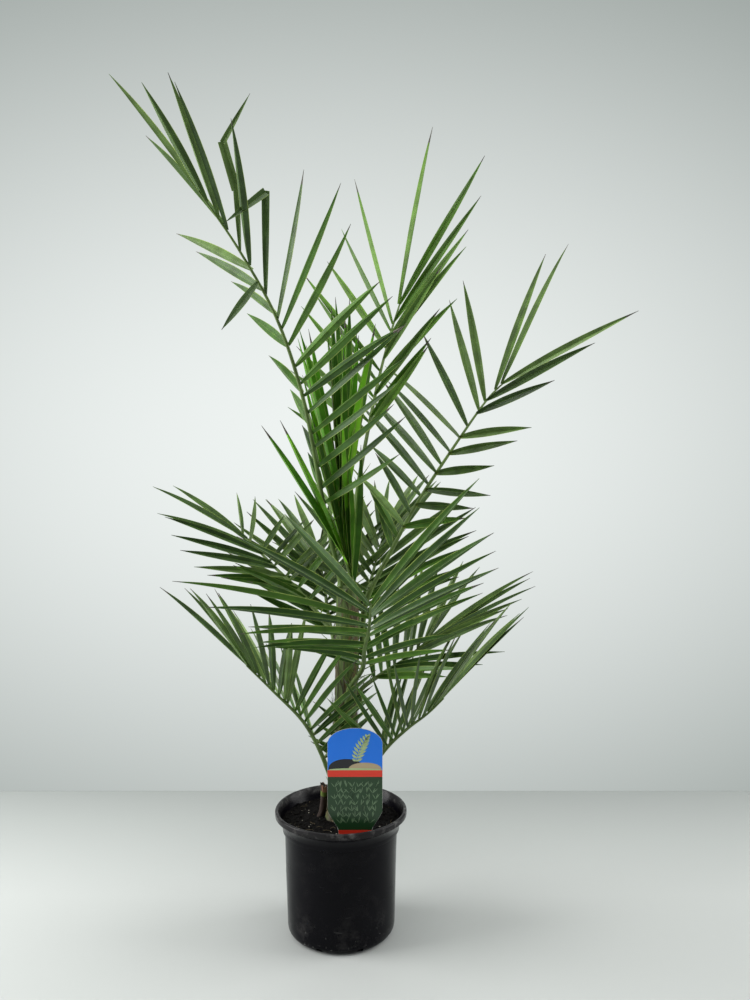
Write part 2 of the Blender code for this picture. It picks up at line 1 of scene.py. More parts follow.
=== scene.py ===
"""The looks of a potted Canary Island date palm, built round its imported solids.

Metres, +Z up, origin at the centre of the pot's flat underside, label towards -Y. The fronds'
rule and sizes are those of the solids' source, carried on here to fine leaflets, ribs and sheaths.
"""

import math

import bmesh
import bpy
import numpy as np
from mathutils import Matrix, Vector, noise
from mathutils.kdtree import KDTree

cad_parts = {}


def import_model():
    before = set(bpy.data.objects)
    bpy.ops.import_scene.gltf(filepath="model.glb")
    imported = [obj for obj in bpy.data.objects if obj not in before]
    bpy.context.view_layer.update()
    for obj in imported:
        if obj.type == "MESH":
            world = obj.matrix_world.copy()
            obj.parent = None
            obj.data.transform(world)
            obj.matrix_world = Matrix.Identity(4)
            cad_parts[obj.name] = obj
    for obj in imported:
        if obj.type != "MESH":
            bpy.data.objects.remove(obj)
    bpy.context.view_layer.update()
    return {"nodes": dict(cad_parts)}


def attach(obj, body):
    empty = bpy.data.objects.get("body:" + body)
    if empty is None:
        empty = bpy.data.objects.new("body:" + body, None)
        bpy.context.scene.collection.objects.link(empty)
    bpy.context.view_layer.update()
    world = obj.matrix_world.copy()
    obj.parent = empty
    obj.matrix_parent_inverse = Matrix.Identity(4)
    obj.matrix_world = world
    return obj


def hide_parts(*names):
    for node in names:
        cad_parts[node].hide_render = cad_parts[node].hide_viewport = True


# ---------------- sizes of the solids

GAP = 0.0003  # between neighbouring parts

POT_HEIGHT = 0.145
RIM_RADIUS = 0.075
RIM_WIDTH = 0.0036
RIM_DEPTH = 0.0072
FLARE_DEPTH = 0.0185
COLLAR_RADIUS = 0.0665
COLLAR_DEPTH = 0.024
BODY_TOP_RADIUS = 0.0640
BODY_FOOT_RADIUS = 0.0612
FOOT_ROUNDING = 0.010
WALL = 0.0016
FLOOR = 0.0020
DRAIN_SLOTS = 8
DRAIN_WIDTH = 0.007

SOIL_TOP = 0.1310
SOIL_CROWN = 0.0015

FORK_HEIGHT = 0.400
STEM_LEAN = 0.008
STEM_FOOT_RADIUS = 0.0195
STEM_RADIUS = 0.0140
STEM_TOP_RADIUS = 0.0128
FLARE_HEIGHT = 0.030

STUB_AZIMUTH = 168
STUB_FOOT = 0.1390
STUB_TOP = 0.1740
STUB_RADIUS = 0.0042

LABEL_WIDTH = 0.0600
LABEL_FOOT_WIDTH = 0.030
LABEL_TOP = 0.2545
LABEL_SHOULDER = 0.2370
LABEL_TAPER = 0.1610
LABEL_FOOT = 0.1000
LABEL_PLACE = (0.0172, -0.0500)

PETIOLE_RADIUS = 0.0031
RIB_TIP_RADIUS = 0.0009
RIB_TAPER = 0.8
PETIOLE_ROOM = 1.15  # petiole radii that its foot keeps clear of the stem
LAST_LEAFLET = 0.97  # share of the rib where the last leaflet stands
# Widths of a creased leaflet at its foot, knees and tip, as shares of a whole one's, by their count.
CREASE_WIDTHS = {2: (0.8, 0.0), 3: (0.8, 0.9, 0.0), 4: (0.6, 0.9, 0.6, 0.0)}
# How far a leaflet strays: degrees, degrees, a share of its length, degrees, a share of the stride.
JITTER = {"angle": 6.0, "lift": 7.0, "length": 0.08, "twist": 18.0, "place": 0.32}
# What a leaflet tries in turn to clear the others: degrees of angle and of lift, share of its length.
DETOURS = (
    (0, 0, 1), (6, 0, 1), (-6, 0, 1), (0, 9, 1), (0, -9, 1), (7, 9, 1), (-7, -9, 1),
    (13, 0, 1), (-13, 0, 1), (0, 18, 1), (0, -18, 1), (0, 0, 0.75), (10, 14, 0.75),
    (-10, -14, 0.75), (0, 0, 0.5),
)


def fan(count, first, angle, lift, length, twist=30):
    """One rank of leaflets; first is a share of the rib. angle (from the rib), lift (out of the
    frond's plane), length and twist (about the midrib) are each given at even steps from there to
    the rib's tip, and twist may be one number."""
    return {"count": count, "first": first, "angle": angle, "lift": lift, "length": length, "twist": twist}


def back_fan(first):
    """A rank of the fronds that lean back, alike on both sides."""
    return fan(12, first, (66, 64, 52, 34, 12), (16, 20, 25, 28, 30), (0.120, 0.140, 0.150, 0.140, 0.130))


# Each frond's foot on the stem (azimuth, and height or None for the fork), the places that its rib
# runs through, its two ranks of leaflets, and the routes of its creased leaflets in the left rank.
FRONDS = {
    "frond_upper_left": {
        "foot": (200, None),
        "rib": [(-0.017, -0.010, 0.490), (-0.037, -0.025, 0.605), (-0.064, -0.040, 0.693),
                (-0.102, -0.055, 0.764), (-0.140, -0.070, 0.820)],
        "left": fan(19, 0.22, (62, 66, 68, 46, 34, 16), (25, 25, 24, 22, 14, 30),
                    (0.130, 0.155, 0.172, 0.186, 0.150, 0.136), (20, 20, 10, 0, -20, -30)),
        "right": fan(10, 0.26, (50, 56, 60, 58, 50, 10), (8, 12, 6, 2, 2, 16),
                     (0.060, 0.075, 0.095, 0.120, 0.145, 0.155)),
        "seed": 1, "droop": 0.04, "width": 0.0102,
        "creased": {
            12: [(-0.071, -0.078, 0.817), (-0.110, -0.095, 0.784)],
            13: [(-0.118, -0.075, 0.680)],
            15: [(-0.102, -0.068, 0.821), (-0.114, -0.075, 0.866), (-0.085, -0.085, 0.911)],
        },
    },
    "frond_right": {
        "foot": (8, 0.322),
        "rib": [(0.030, 0.006, 0.385), (0.056, 0.015, 0.437), (0.087, 0.030, 0.492),
                (0.131, 0.050, 0.557), (0.170, 0.068, 0.610), (0.196, 0.080, 0.635)],
        "left": fan(15, 0.34, (58, 66, 68, 70, 46, 20), (6, 14, 28, 30, 38, 85),
                    (0.120, 0.150, 0.165, 0.175, 0.185, 0.215), -36),
        "right": fan(9, 0.42, (70, 76, 68, 60, 18), (-12, -12, -12, -12, -14),
                     (0.085, 0.095, 0.090, 0.105, 0.174), 52),
        "seed": 2, "droop": 0.04, "width": 0.0098,
    },
    "frond_upper_back": {
        "foot": (60, None),
        "rib": [(0.018, 0.035, 0.500), (0.038, 0.075, 0.610), (0.055, 0.105, 0.680), (0.072, 0.128, 0.736)],
        "left": fan(10, 0.42, (60, 54, 48, 46, 42, 24), (15, 18, 20, 22, 30, 108),
                    (0.120, 0.140, 0.155, 0.160, 0.160, 0.215)),
        "right": fan(9, 0.50, (36, 34, 32, 28, 24, 16), (15, 12, 10, 8, 10, 20),
                     (0.120, 0.130, 0.135, 0.150, 0.170, 0.210)),
        "seed": 3, "droop": 0.04, "width": 0.0093,
    },
    "spear": {
        "foot": (300, None),
        "rib": [(0.001, -0.004, 0.455), (-0.001, 0.002, 0.505), (0.000, 0.010, 0.550)],
        "left": fan(16, 0.04, (9, 13, 13, 8), (10, 10, 10, 10), (0.160, 0.190, 0.200, 0.175), -12),
        "right": fan(16, 0.06, (9, 13, 13, 8), (10, 10, 10, 10), (0.155, 0.190, 0.195, 0.165), 12),
        "seed": 34, "droop": 0.01, "width": 0.0115, "scatter": 11,
    },
    "frond_mid_left": {
        "foot": (150, 0.325),
        "rib": [(-0.048, 0.040, 0.387), (-0.080, 0.060, 0.414), (-0.104, 0.075, 0.435),
                (-0.125, 0.088, 0.452)],
        "left": fan(11, 0.32, (60, 68, 66, 40, 14), (10, 6, 2, 0, 0), (0.100, 0.125, 0.135, 0.130, 0.120)),
        "right": fan(9, 0.36, (66, 72, 68, 60, 36), (20, 20, 20, 20, 20),
                     (0.110, 0.120, 0.110, 0.090, 0.080), 40),
        "seed": 5, "droop": 0.06, "width": 0.0085,
    },
    "frond_low_left": {
        "foot": (235, 0.150),
        "rib": [(-0.0150, -0.030, 0.205), (-0.037, -0.045, 0.257), (-0.072, -0.062, 0.301),
                (-0.096, -0.078, 0.331)],
        "left": fan(16, 0.32, (74, 68, 60, 50, 30, 10), (66, 60, 50, 38, 34, 30),
                    (0.080, 0.095, 0.115, 0.130, 0.130, 0.145), -36),
        "right": fan(10, 0.46, (60, 62, 54, 40, 14), (30, 38, 40, 38, 20),
                     (0.090, 0.110, 0.120, 0.125, 0.140)),
        "seed": 6, "droop": 0.06, "width": 0.0075,
    },
    "frond_low_right": {
        "foot": (342, 0.150),
        "rib": [(0.049, -0.022, 0.219), (0.073, -0.036, 0.248), (0.096, -0.048, 0.270),
                (0.113, -0.055, 0.289)],
        "left": fan(11, 0.40, (60, 60, 50, 30, 12), (35, 40, 38, 30, 20),
                    (0.100, 0.120, 0.135, 0.145, 0.150), -32),
        "right": fan(16, 0.24, (80, 70, 54, 36, 14), (64, 56, 48, 40, 20),
                     (0.075, 0.105, 0.125, 0.140, 0.155)),
        "seed": 7, "droop": 0.06, "width": 0.0075,
    },
    "frond_front": {
        "foot": (283, 0.270),
        "rib": [(0.025, -0.040, 0.317), (0.028, -0.085, 0.350), (0.033, -0.130, 0.382),
                (0.035, -0.185, 0.418)],
        "left": fan(10, 0.30, (60, 56, 52, 47, 42, 40), (4, 8, 12, 16, 24, 36),
                    (0.100, 0.130, 0.150, 0.165, 0.165, 0.165)),
        "right": fan(11, 0.30, (64, 68, 72, 74, 66, 30), (5, 5, 4, 4, 10, 30),
                     (0.100, 0.110, 0.120, 0.140, 0.182, 0.165)),
        "seed": 8, "droop": 0.06, "width": 0.0092,
    },
    "frond_mid_right": {
        "foot": (20, 0.262),
        "rib": [(0.045, 0.018, 0.295), (0.080, 0.036, 0.313), (0.104, 0.052, 0.330)],
        "left": fan(9, 0.32, (66, 58, 50, 34, 12), (25, 30, 32, 28, 20),
                    (0.110, 0.130, 0.150, 0.150, 0.140), -34),
        "right": fan(10, 0.34, (56, 54, 46, 34, 18), (-3, 2, 10, 12, 8), (0.100, 0.125, 0.145, 0.150, 0.155)),
        "seed": 9, "droop": 0.06, "width": 0.0083,
    },
    "frond_back_left": {
        "foot": (112, 0.285),
        "rib": [(-0.014, 0.055, 0.345), (-0.024, 0.105, 0.388), (-0.034, 0.158, 0.418)],
        "left": back_fan(0.34),
        "right": back_fan(0.32),
        "seed": 10, "droop": 0.06, "width": 0.0092,
    },
    "frond_back_right": {
        "foot": (66, 0.300),
        "rib": [(0.026, 0.058, 0.365), (0.040, 0.110, 0.412), (0.052, 0.160, 0.445)],
        "left": back_fan(0.32),
        "right": back_fan(0.34),
        "seed": 11, "droop": 0.06, "width": 0.0095,
    },
}

# ---------------- sizes of the looks

CAMERA_PLACE = (0.039, -1.109, 0.5995)
CAMERA_DOWN = 5.2  # degrees below level
FOCAL = 36.0  # mm, on a 36 mm sensor along the frame's long side

# A leaflet's blade: places across it as shares of its half width, and stations along it.
HALF_ACROSS = (0.06, 0.24, 0.42, 0.60, 0.78, 0.93, 1.0)
BLADE_ACROSS = np.array([-u for u in reversed(HALF_ACROSS)] + [0.0, *HALF_ACROSS])
BLADE_STATIONS = 18
BLADE_THICKNESS = 0.0006
BLADE_LEAST = 0.00022  # half width of a blade at its very tip
FULL_RELIEF = 0.004  # half width from which a blade has its full thickness, pleats and keel
PLEAT_DEPTH = 0.00010
KEEL_DEPTH = 0.0006
WIDEST = 0.40  # share of the length where the blade is widest
OPEN_FOLDS = (26, 40)  # degrees that each half of a blade stands up from flat, least and most
FOOT_FOLD = 24  # degrees more at its foot
TIP_FOLD = 14  # degrees more at its tip
CURL = 7  # degrees that a blade turns along its length, at most
SWAY = 0.010  # share of its length by which a blade bends sideways, at most
MARGIN_FROM = 0.88  # share of the half width outside which a blade is margin
MIDRIB_WITHIN = 0.05  # share of the half width inside which it is midrib
FOOT_LENGTH = 0.003
DRY_TIP = 0.13  # share of a leaflet's length that has dried, at most
CREASED_DRY_TIP = 0.06
CREASE_LAP = 0.0015  # how far a stretch of a creased leaflet runs past its crease
TIP_MATCH = 0.0002  # how near a leaflet's tip lies to its solid one's

RIB_RINGS = 56
SPINES = 3  # short stiff leaflets on each side of a petiole, below the first full ones
SPINE_RADIUS = 0.0008
SPINE_TIP_RADIUS = 0.00012

STEM_RINGS = 190
STEM_SIDES = 112
SHEATH_RISE = 0.006  # how far a leaf base rises above its frond's foot
SHEATH_CLASP = (14, 150)  # degrees that it covers to each side at its top, and adds below
SHEATH_LENGTH = 0.085  # how far below its top it has its full reach round the stem
SHEATH_EDGE = 0.10  # radians over which its edge fades
STEM_SKIN = 0.0005  # how far the stem stands out of the solid one where every leaf base covers it
LAYER = 0.00040  # thickness of one leaf base
EDGE_LIP = 0.00055  # how far a leaf base's edge stands out
FIBRE_RELIEF = 0.00022
SWELLING = 0.0005
TOP_DRAW = 0.0010  # the topmost ring is drawn in this far
STEM_SPLASH = 0.004  # height of the compost that clings to the stem's foot
FIBRES = 14  # loose fibres to each leaf base
FIBRE_RADIUS = 0.00022
STUB_RINGS = 22
STUB_SIDES = 24

POT_SIDES = 192
COMPOST_RELIEF = 0.0016  # how far the crumbly surface lies above the solid's
COMPOST_RINGS = 78
COMPOST_SIDES = 240
CRUMBS = 1500
FLECKS = 70
STRAWS = 18
STRAW_STATIONS = 9

LABEL_THICKNESS = 0.0007
ARCH_STEPS = 48
PRINT_RELIEF = 0.00006  # of one layer of print
PRINT_SINK = 0.00002  # how far the print's back lies inside the card
PRINT_INSET = 0.0002  # the card's white edge
BAND_FOOT = 0.2000
BAND_TOP = 0.2075
FIELD_FOOT = 0.1400
STRIP_FOOT = 0.1330
# Each hill's left and right end as shares of the half width, its rise, its colour and its layer.
HILLS = (
    (-1, 0.35, 0.0125, "dark_hill", 2), (-0.25, 1, 0.0085, "cream_hill", 3), (-1, 1, 0.0022, "pale_green", 4),
)
SPRIG_PAIRS = 9
SPRIG_FOOT = (0.001, 0.2175)
SPRIG_BEND = 0.012
SPRIG_RISE = 0.0265
SPRIG_LEAF = 0.010
TUFT_ROWS = 7
TUFT_TOP = 0.1885
TUFT_PITCH = (0.0064, 0.0068)  # across and down

# The stage: a floor that turns down at its far edge, and a wall behind it.
STAGE_NEAR = -2.4
STAGE_EDGE = 0.46
STAGE_TURN = 0.05  # radius of the turn
STAGE_DROP = 0.80
STAGE_FAR = 2.05
STAGE_HALF_WIDTH = 2.6
STAGE_TOP = 3.0
# Each soft panel's place, the place that it faces, its size and its power in watts.
PANELS = {
    "left_panel": ((-1.25, -0.10, 0.80), (0, 0.10, 0.42), (0.9, 1.2), 25),
    "right_panel": ((1.25, 0.10, 0.80), (0, 0.10, 0.42), (0.9, 1.2), 15.5),
    "top_panel": ((0.0, -0.05, 1.75), (0, 0.05, 0.0), (1.3, 1.0), 16),
}

# ---------------- colours, as sRGB


def srgb(*colour):
    """A colour given in 0-255 sRGB, as the linear one that shaders take."""
    return tuple(((c / 255 + 0.055) / 1.055) ** 2.4 if c > 10 else c / 255 / 12.92 for c in colour)


GREENS = {
    "leaf": ((50, 84, 24), (58, 94, 28), (66, 104, 32), (74, 112, 38), (60, 92, 34), (48, 78, 28)),
    # Paler, greyer greens for leaflets far from the stem: partly their own colour, partly painted light.
    "outer_pale_and_lit": ((72, 98, 50), (84, 110, 56), (96, 122, 66), (80, 104, 62), (66, 90, 50)),
    # The upper back frond's greens and the spear's are brighter: partly the new leaves' own yellow-green,
    # partly painted light standing in for light shining through their thin blades.
    "young_and_backlit": ((78, 116, 40), (88, 130, 44), (102, 142, 56), (80, 112, 48)),
    "spear": ((84, 148, 22), (104, 168, 26), (122, 182, 40), (74, 126, 24), (60, 104, 24)),
}
# Fronds with one family of greens. The others' leaflets take the leaf greens near the stem, and beyond a
# reach from its middle the paler, greyer greens: partly their own colour, partly painted light, as if better
# lit than the leaflets deep in the crown.
FAMILY_OF = {"spear": "spear", "frond_upper_back": "young_and_backlit", "frond_front": "leaf"}
OUTER_REACH = 0.075
LABEL_COLOURS = {
    "white_card": (214, 214, 206), "blue": (24, 128, 250), "red": (240, 60, 40), "green": (32, 66, 34),
    "pale_green": (186, 208, 150), "mid_green": (112, 140, 104), "dark_hill": (34, 36, 40),
    "cream_hill": (196, 176, 140),
}

# The backdrop's painted glow: its centre behind the crown, and how far it reaches along each axis.
BACKDROP_GLOW = {"Location": (0.04, 0.0, -0.23), "Scale": (0.27, 0.0, 0.46)}
# Colours of the backdrop's painted light at its heart and at its edges.
BACKDROP_PAINTED_LIGHT_HEART = (238, 243, 241)
BACKDROP_PAINTED_LIGHT_EDGE = (136, 145, 141)
FLOOR_PALE = (184, 187, 184)
# Painted shade on the floor: along its far edge and to its right.
FLOOR_FAR_PAINTED_SHADE = (150, 154, 151)
FLOOR_RIGHT_PAINTED_SHADE = (110, 114, 112)
FILL_TINT = (0.93, 0.98, 1.0)  # of the dim light from all round
FILL_STRENGTH = 0.30

# ---------------- materials


def noise_node(tree, scale, detail=4.0, stretch=(1, 1, 1), roughness=0.55):
    """A noise texture's output, in the object's own metres."""
    nodes, links = tree.nodes, tree.links
    place = nodes.new("ShaderNodeTexCoord")
    mapping = nodes.new("ShaderNodeMapping")
    mapping.inputs["Scale"].default_value = stretch
    texture = nodes.new("ShaderNodeTexNoise")
    texture.inputs["Scale"].default_value = scale
    texture.inputs["Detail"].default_value = detail
    texture.inputs["Roughness"].default_value = roughness
    links.new(place.outputs["Object"], mapping.inputs["Vector"])
    links.new(mapping.outputs["Vector"], texture.inputs["Vector"])
    return texture.outputs["Fac"]


def spread(tree, value, low, high, out_low=0.0, out_high=1.0, way="LINEAR"):
    """value carried from low-high to out_low-out_high, and held there."""
    node = tree.nodes.new("ShaderNodeMapRange")
    node.interpolation_type = way
    ends = {"From Min": low, "From Max": high, "To Min": out_low, "To Max": out_high}
    for key, number in ends.items():
        node.inputs[key].default_value = number
    tree.links.new(value, node.inputs["Value"])
    return node.outputs["Result"]


def product(tree, first, second):
    """Two values multiplied."""
    node = tree.nodes.new("ShaderNodeMath")
    node.operation = "MULTIPLY"
    for key, value in enumerate((first, second)):
        tree.links.new(value, node.inputs[key])
    return node.outputs[0]


def mixed(tree, factor, first, second):
    """Two colours mixed by factor; each is an sRGB tuple or another mix."""
    node = tree.nodes.new("ShaderNodeMix")
    node.data_type = "RGBA"
    tree.links.new(factor, node.inputs["Factor"])
    for key, value in (("A", first), ("B", second)):
        socket = next(s for s in node.inputs if s.name == key and s.type == "RGBA")
        if isinstance(value, tuple):
            socket.default_value = (*srgb(*value), 1)
        else:
            tree.links.new(value, socket)
    return next(s for s in node.outputs if s.type == "RGBA")


def own_place(tree):
    """The object's own coordinates in metres, split into axes."""
    place = tree.nodes.new("ShaderNodeTexCoord")
    split = tree.nodes.new("ShaderNodeSeparateXYZ")
    tree.links.new(place.outputs["Object"], split.inputs[0])
    return split.outputs


def surface(name, colour, roughness, bump=None, stretch=(1, 1, 1), **constants):
    """A Principled material. bump is (noise scale, depth in metres), its noise drawn out by stretch."""
    made = bpy.data.materials.new(name)
    made.use_nodes = True
    tree, shader = made.node_tree, shader_of(made)
    shader.inputs["Base Color"].default_value = (*srgb(*colour), 1)
    shader.inputs["Roughness"].default_value = roughness
    for key, value in constants.items():
        shader.inputs[key.replace("_", " ")].default_value = value
    if bump:
        scale, depth = bump
        node = tree.nodes.new("ShaderNodeBump")
        node.inputs["Distance"].default_value = depth
        tree.links.new(noise_node(tree, scale, stretch=stretch), node.inputs["Height"])
        tree.links.new(node.outputs["Normal"], shader.inputs["Normal"])
    return made


def shader_of(made):
    """The material's Principled shader."""
    return made.node_tree.nodes["Principled BSDF"]


def leaf_material(name, colour, roughness=0.40):
    """A waxy leaf skin: faintly mottled, with a fine grain."""
    made = surface(name, colour, roughness, bump=(420, 0.000012), Specular_IOR_Level=0.24)
    tree = made.node_tree
    mottle = spread(tree, noise_node(tree, 55, 2.0, roughness=0.5), 0.34, 0.68)
    dull = tuple(round(c * 0.86) for c in colour)
    fresh = tuple(min(255, round(c * 1.08)) for c in colour)
    tree.links.new(mixed(tree, mottle, dull, fresh), shader_of(made).inputs["Base Color"])
    return made


def pot_material():
    """Black moulded plastic: dusty and specked towards the foot, scuffed, and worn pale at the rim."""
    made = surface("pot_black_plastic", (9, 9, 11), 0.30, bump=(900, 0.00003), Specular_IOR_Level=0.10)
    tree, shader = made.node_tree, shader_of(made)
    height = own_place(tree)["Z"]
    low = spread(tree, height, 0.0, 0.050, 0.75, 0.10)
    dust = product(tree, spread(tree, noise_node(tree, 38, 9.0, roughness=0.7), 0.52, 0.78), low)
    scuff = spread(tree, noise_node(tree, 60, 6.0, (1, 1, 5)), 0.66, 0.74, 0.0, 0.5)
    rim = spread(tree, height, POT_HEIGHT - 0.0085, POT_HEIGHT - 0.0045)
    wear = spread(tree, noise_node(tree, 90, 8.0, roughness=0.7), 0.50, 0.70, 0.12, 0.75)
    worn = product(tree, wear, rim)
    colour = mixed(tree, dust, (6, 5, 10), (74, 72, 71))
    colour = mixed(tree, product(tree, scuff, low), colour, (120, 120, 118))
    colour = mixed(tree, worn, colour, (104, 102, 100))
    foot = spread(tree, height, 0.004, 0.034, 1.0, 0.0)
    specks = product(tree, spread(tree, noise_node(tree, 210, 3.0), 0.665, 0.73), foot)
    colour = mixed(tree, specks, colour, (124, 124, 120))
    tree.links.new(colour, shader.inputs["Base Color"])
    rough = spread(tree, noise_node(tree, 30, 6.0, roughness=0.65), 0.35, 0.70, 0.15, 0.30)
    tree.links.new(rough, shader.inputs["Roughness"])
    return made


def soil_material():
    """Damp black compost, browner in grains."""
    made = surface("compost_dark", (14, 11, 9), 0.80, bump=(700, 0.0006), Specular_IOR_Level=0.12)
    tree = made.node_tree
    tone = spread(tree, noise_node(tree, 260, 8.0, roughness=0.7), 0.42, 0.66)
    tree.links.new(mixed(tree, tone, (3, 2, 2), (16, 12, 9)), shader_of(made).inputs["Base Color"])
    return made


def sheath_material(name, dark, light):
    """Leaf-base skin, streaked along the stem."""
    fibres = (1, 1, 0.06)
    made = surface(name, dark, 0.62, bump=(900, 0.00035), stretch=fibres)
    tree = made.node_tree
    streak = spread(tree, noise_node(tree, 420, 6.0, fibres, 0.65), 0.36, 0.66)
    tree.links.new(mixed(tree, streak, dark, light), shader_of(made).inputs["Base Color"])
    return made


# ---------------- meshes


def piece(name, points, faces, materials, paint=None, sharp=None):
    """An object from arrays of points and of faces with equal corners, shaded smooth."""
    points, faces = np.asarray(points, np.float32), np.asarray(faces, np.int32)
    mesh = bpy.data.meshes.new(name)
    mesh.vertices.add(len(points))
    mesh.vertices.foreach_set("co", points.ravel())
    sides = faces.shape[1]
    mesh.loops.add(faces.size)
    mesh.loops.foreach_set("vertex_index", faces.ravel())
    mesh.polygons.add(len(faces))
    mesh.polygons.foreach_set("loop_start", np.arange(0, faces.size, sides, dtype=np.int32))
    mesh.polygons.foreach_set("loop_total", np.full(len(faces), sides, np.int32))
    mesh.update(calc_edges=True)
    for made in materials:
        mesh.materials.append(made)
    if paint is not None:
        mesh.polygons.foreach_set("material_index", np.asarray(paint, np.int32))
    mesh.polygons.foreach_set("use_smooth", np.ones(len(faces), bool))
    if sharp:
        mesh.set_sharp_from_angle(angle=math.radians(sharp))
    mesh.validate()
    obj = bpy.data.objects.new(name, mesh)
    bpy.context.scene.collection.objects.link(obj)
    return obj


def stand_in(obj, slot, *nodes):
    """The piece rides on the one body and stands for the nodes. slot is not used."""
    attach(obj, "root")
    if nodes:
        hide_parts(*nodes)
    return obj


class Sheaf:
    """Grids of points gathered into one mesh: closed rings along a line, with capped ends."""

    def __init__(self):
        self.points, self.faces, self.paint, self.count = [], [], [], 0

    def add(self, rings, paint, capped=True):
        """rings: stations x round x 3, an even number round. paint: one per band and place round."""
        stations, around = rings.shape[:2]
        index = np.arange(stations * around).reshape(stations, around) + self.count
        ahead = np.roll(index, -1, axis=1)
        sides = np.stack([index[:-1], ahead[:-1], ahead[1:], index[1:]], axis=-1).reshape(-1, 4)
        self.faces.append(sides)
        self.paint.append(np.broadcast_to(paint, (stations - 1, around)).ravel())
        if capped:
            half = around // 2
            k = np.arange(half - 1)
            ends = self.paint[-1][0], self.paint[-1][-1]
            for row, turn, colour in ((index[0], 1, ends[0]), (index[-1], -1, ends[1])):
                cap = np.stack([row[k], row[around - 1 - k], row[around - 2 - k], row[k + 1]], axis=-1)
                self.faces.append(cap[:, ::turn])
                self.paint.append(np.full(half - 1, colour))
        self.points.append(rings.reshape(-1, 3))
        self.count += stations * around

    def piece(self, name, materials, sharp=40):
        """The mesh as an object, with an edge shown sharp above that many degrees."""
        return piece(
            name, np.concatenate(self.points), np.concatenate(self.faces), materials,
            np.concatenate(self.paint), sharp,
        )


def facing(turn):
    """Level directions outward at a turn about the upright axis, and to the left of it."""
    return np.array([math.cos(turn), math.sin(turn), 0]), np.array([-math.sin(turn), math.cos(turn), 0])


def turns_round(sides):
    """Angles of the points of a ring."""
    return np.arange(sides) * math.tau / sides


def oval(first, second, turns):
    """Points of an ellipse about the origin with these half axes."""
    return np.cos(turns)[:, None] * first + np.sin(turns)[:, None] * second


def level_ring(turns, radius, height=0.0):
    """Points of a level ring about the upright axis; the radius may differ from point to point."""
    return np.stack([np.cos(turns) * radius, np.sin(turns) * radius, np.full(len(turns), height)], axis=-1)


def round_noise(turns, reach, height):
    """Noise at points of a level ring in the noise's own space."""
    return np.array([noise.noise(Vector(point)) for point in level_ring(turns, reach, height)])


def lumps(places, sizes, chance, flat=1.0, paints=None):
    """Small irregular stones or crumbs as one set of points and triangles."""
    work = bmesh.new()
    bmesh.ops.create_icosphere(work, subdivisions=1, radius=1.0)
    ball = np.array([v.co for v in work.verts])
    ball_faces = np.array([[v.index for v in f.verts] for f in work.faces])
    work.free()
    points, faces, paint = [], [], []
    for k, (place, size) in enumerate(zip(places, sizes)):
        shape = ball * (1 + chance.uniform(-0.28, 0.28, (len(ball), 1)))
        stretch = np.array([1, chance.uniform(0.55, 1.0), chance.uniform(0.45, 0.85) * flat])
        spin = np.array([*facing(chance.uniform(0, math.tau)), (0, 0, 1)])
        points.append((shape * stretch * size) @ spin + place)
        faces.append(ball_faces + k * len(ball))
        paint.append(np.full(len(ball_faces), 0 if paints is None else paints[k]))
    return np.concatenate(points), np.concatenate(faces), np.concatenate(paint)


# ---------------- the solids' rule, written again


def unit(vector):
    return vector / np.linalg.norm(vector)


def body_radius(height):
    """Outer radius of the pot's tapering body."""
    share = height / (POT_HEIGHT - COLLAR_DEPTH)
    return BODY_FOOT_RADIUS + (BODY_TOP_RADIUS - BODY_FOOT_RADIUS) * share


def stem_at(height):
    """Centre and radius of the stem at a height above the pot's underside."""
    ground = SOIL_TOP + SOIL_CROWN
    share = (height - ground) / (FORK_HEIGHT - ground)
    sway = STEM_LEAN * math.sin(min(share, 1) * math.pi / 2)
    above = height - ground
    flare = (STEM_FOOT_RADIUS - STEM_RADIUS) * max(0.0, 1 - above / FLARE_HEIGHT) ** 2
    radius = STEM_RADIUS + (STEM_TOP_RADIUS - STEM_RADIUS) * share + flare
    return np.array([sway, 0.25 * sway, height]), radius


def along(points, share):
    """A smooth curve through the points (Catmull-Rom), at a share of its length."""
    steps = np.cumsum([0] + [np.linalg.norm(b - a) for a, b in zip(points, points[1:])])
    steps /= steps[-1]
    k = max(0, min(int(np.searchsorted(steps, share, side="right")) - 1, len(points) - 2))
    u = (share - steps[k]) / (steps[k + 1] - steps[k])
    b, c = points[k], points[k + 1]
    a = points[k - 1] if k else 2 * b - c
    d = points[k + 2] if k + 2 < len(points) else 2 * c - b
    return 0.5 * (2 * b + (c - a) * u + (2 * a - 5 * b + 4 * c - d) * u**2 + (3 * b - a - 3 * c + d) * u**3)


def rib_points(frond):
    """The rib's places: its foot lies against the stem, or stands on the fork, and runs up first."""
    azimuth, height = frond["foot"]
    outward, _ = facing(math.radians(azimuth))
    if height is None:
        centre, radius = stem_at(FORK_HEIGHT)
        low = centre + outward * (radius - PETIOLE_RADIUS * PETIOLE_ROOM)
        low[2] = FORK_HEIGHT + 3 * GAP
        high = low + np.array([0, 0, 0.012])
    else:
        centre, radius = stem_at(height)
        low = centre + outward * (radius + PETIOLE_RADIUS * PETIOLE_ROOM + GAP)
        centre, radius = stem_at(height + 0.018)
        high = centre + outward * (radius + PETIOLE_RADIUS * PETIOLE_ROOM + 2 * GAP)
    return [low, high] + [np.array(p) for p in frond["rib"]]


def frame_at(points, share):
    """Direction of the rib, the frond's upper side and its right-hand side."""
    direction = unit(along(points, min(share + 0.01, 1)) - along(points, max(share - 0.01, 0)))
    lean = points[-1] - points[0]
    lean[2] = 0
    up = np.array([0, 0, 1.0]) - unit(lean)
    upper = unit(up - direction * (up @ direction))
    return direction, upper, np.cross(direction, upper)


def blend(knots, share):
    """The value at a share of the rank, between knots spaced evenly from its first leaflet to its tip."""
    return float(np.interp(share, np.linspace(0, 1, len(knots)), knots))


def turned_about(vector, axis, degrees):
    """A vector square to the axis, turned about it."""
    turn = math.radians(degrees)
    return vector * math.cos(turn) + np.cross(axis, vector) * math.sin(turn)


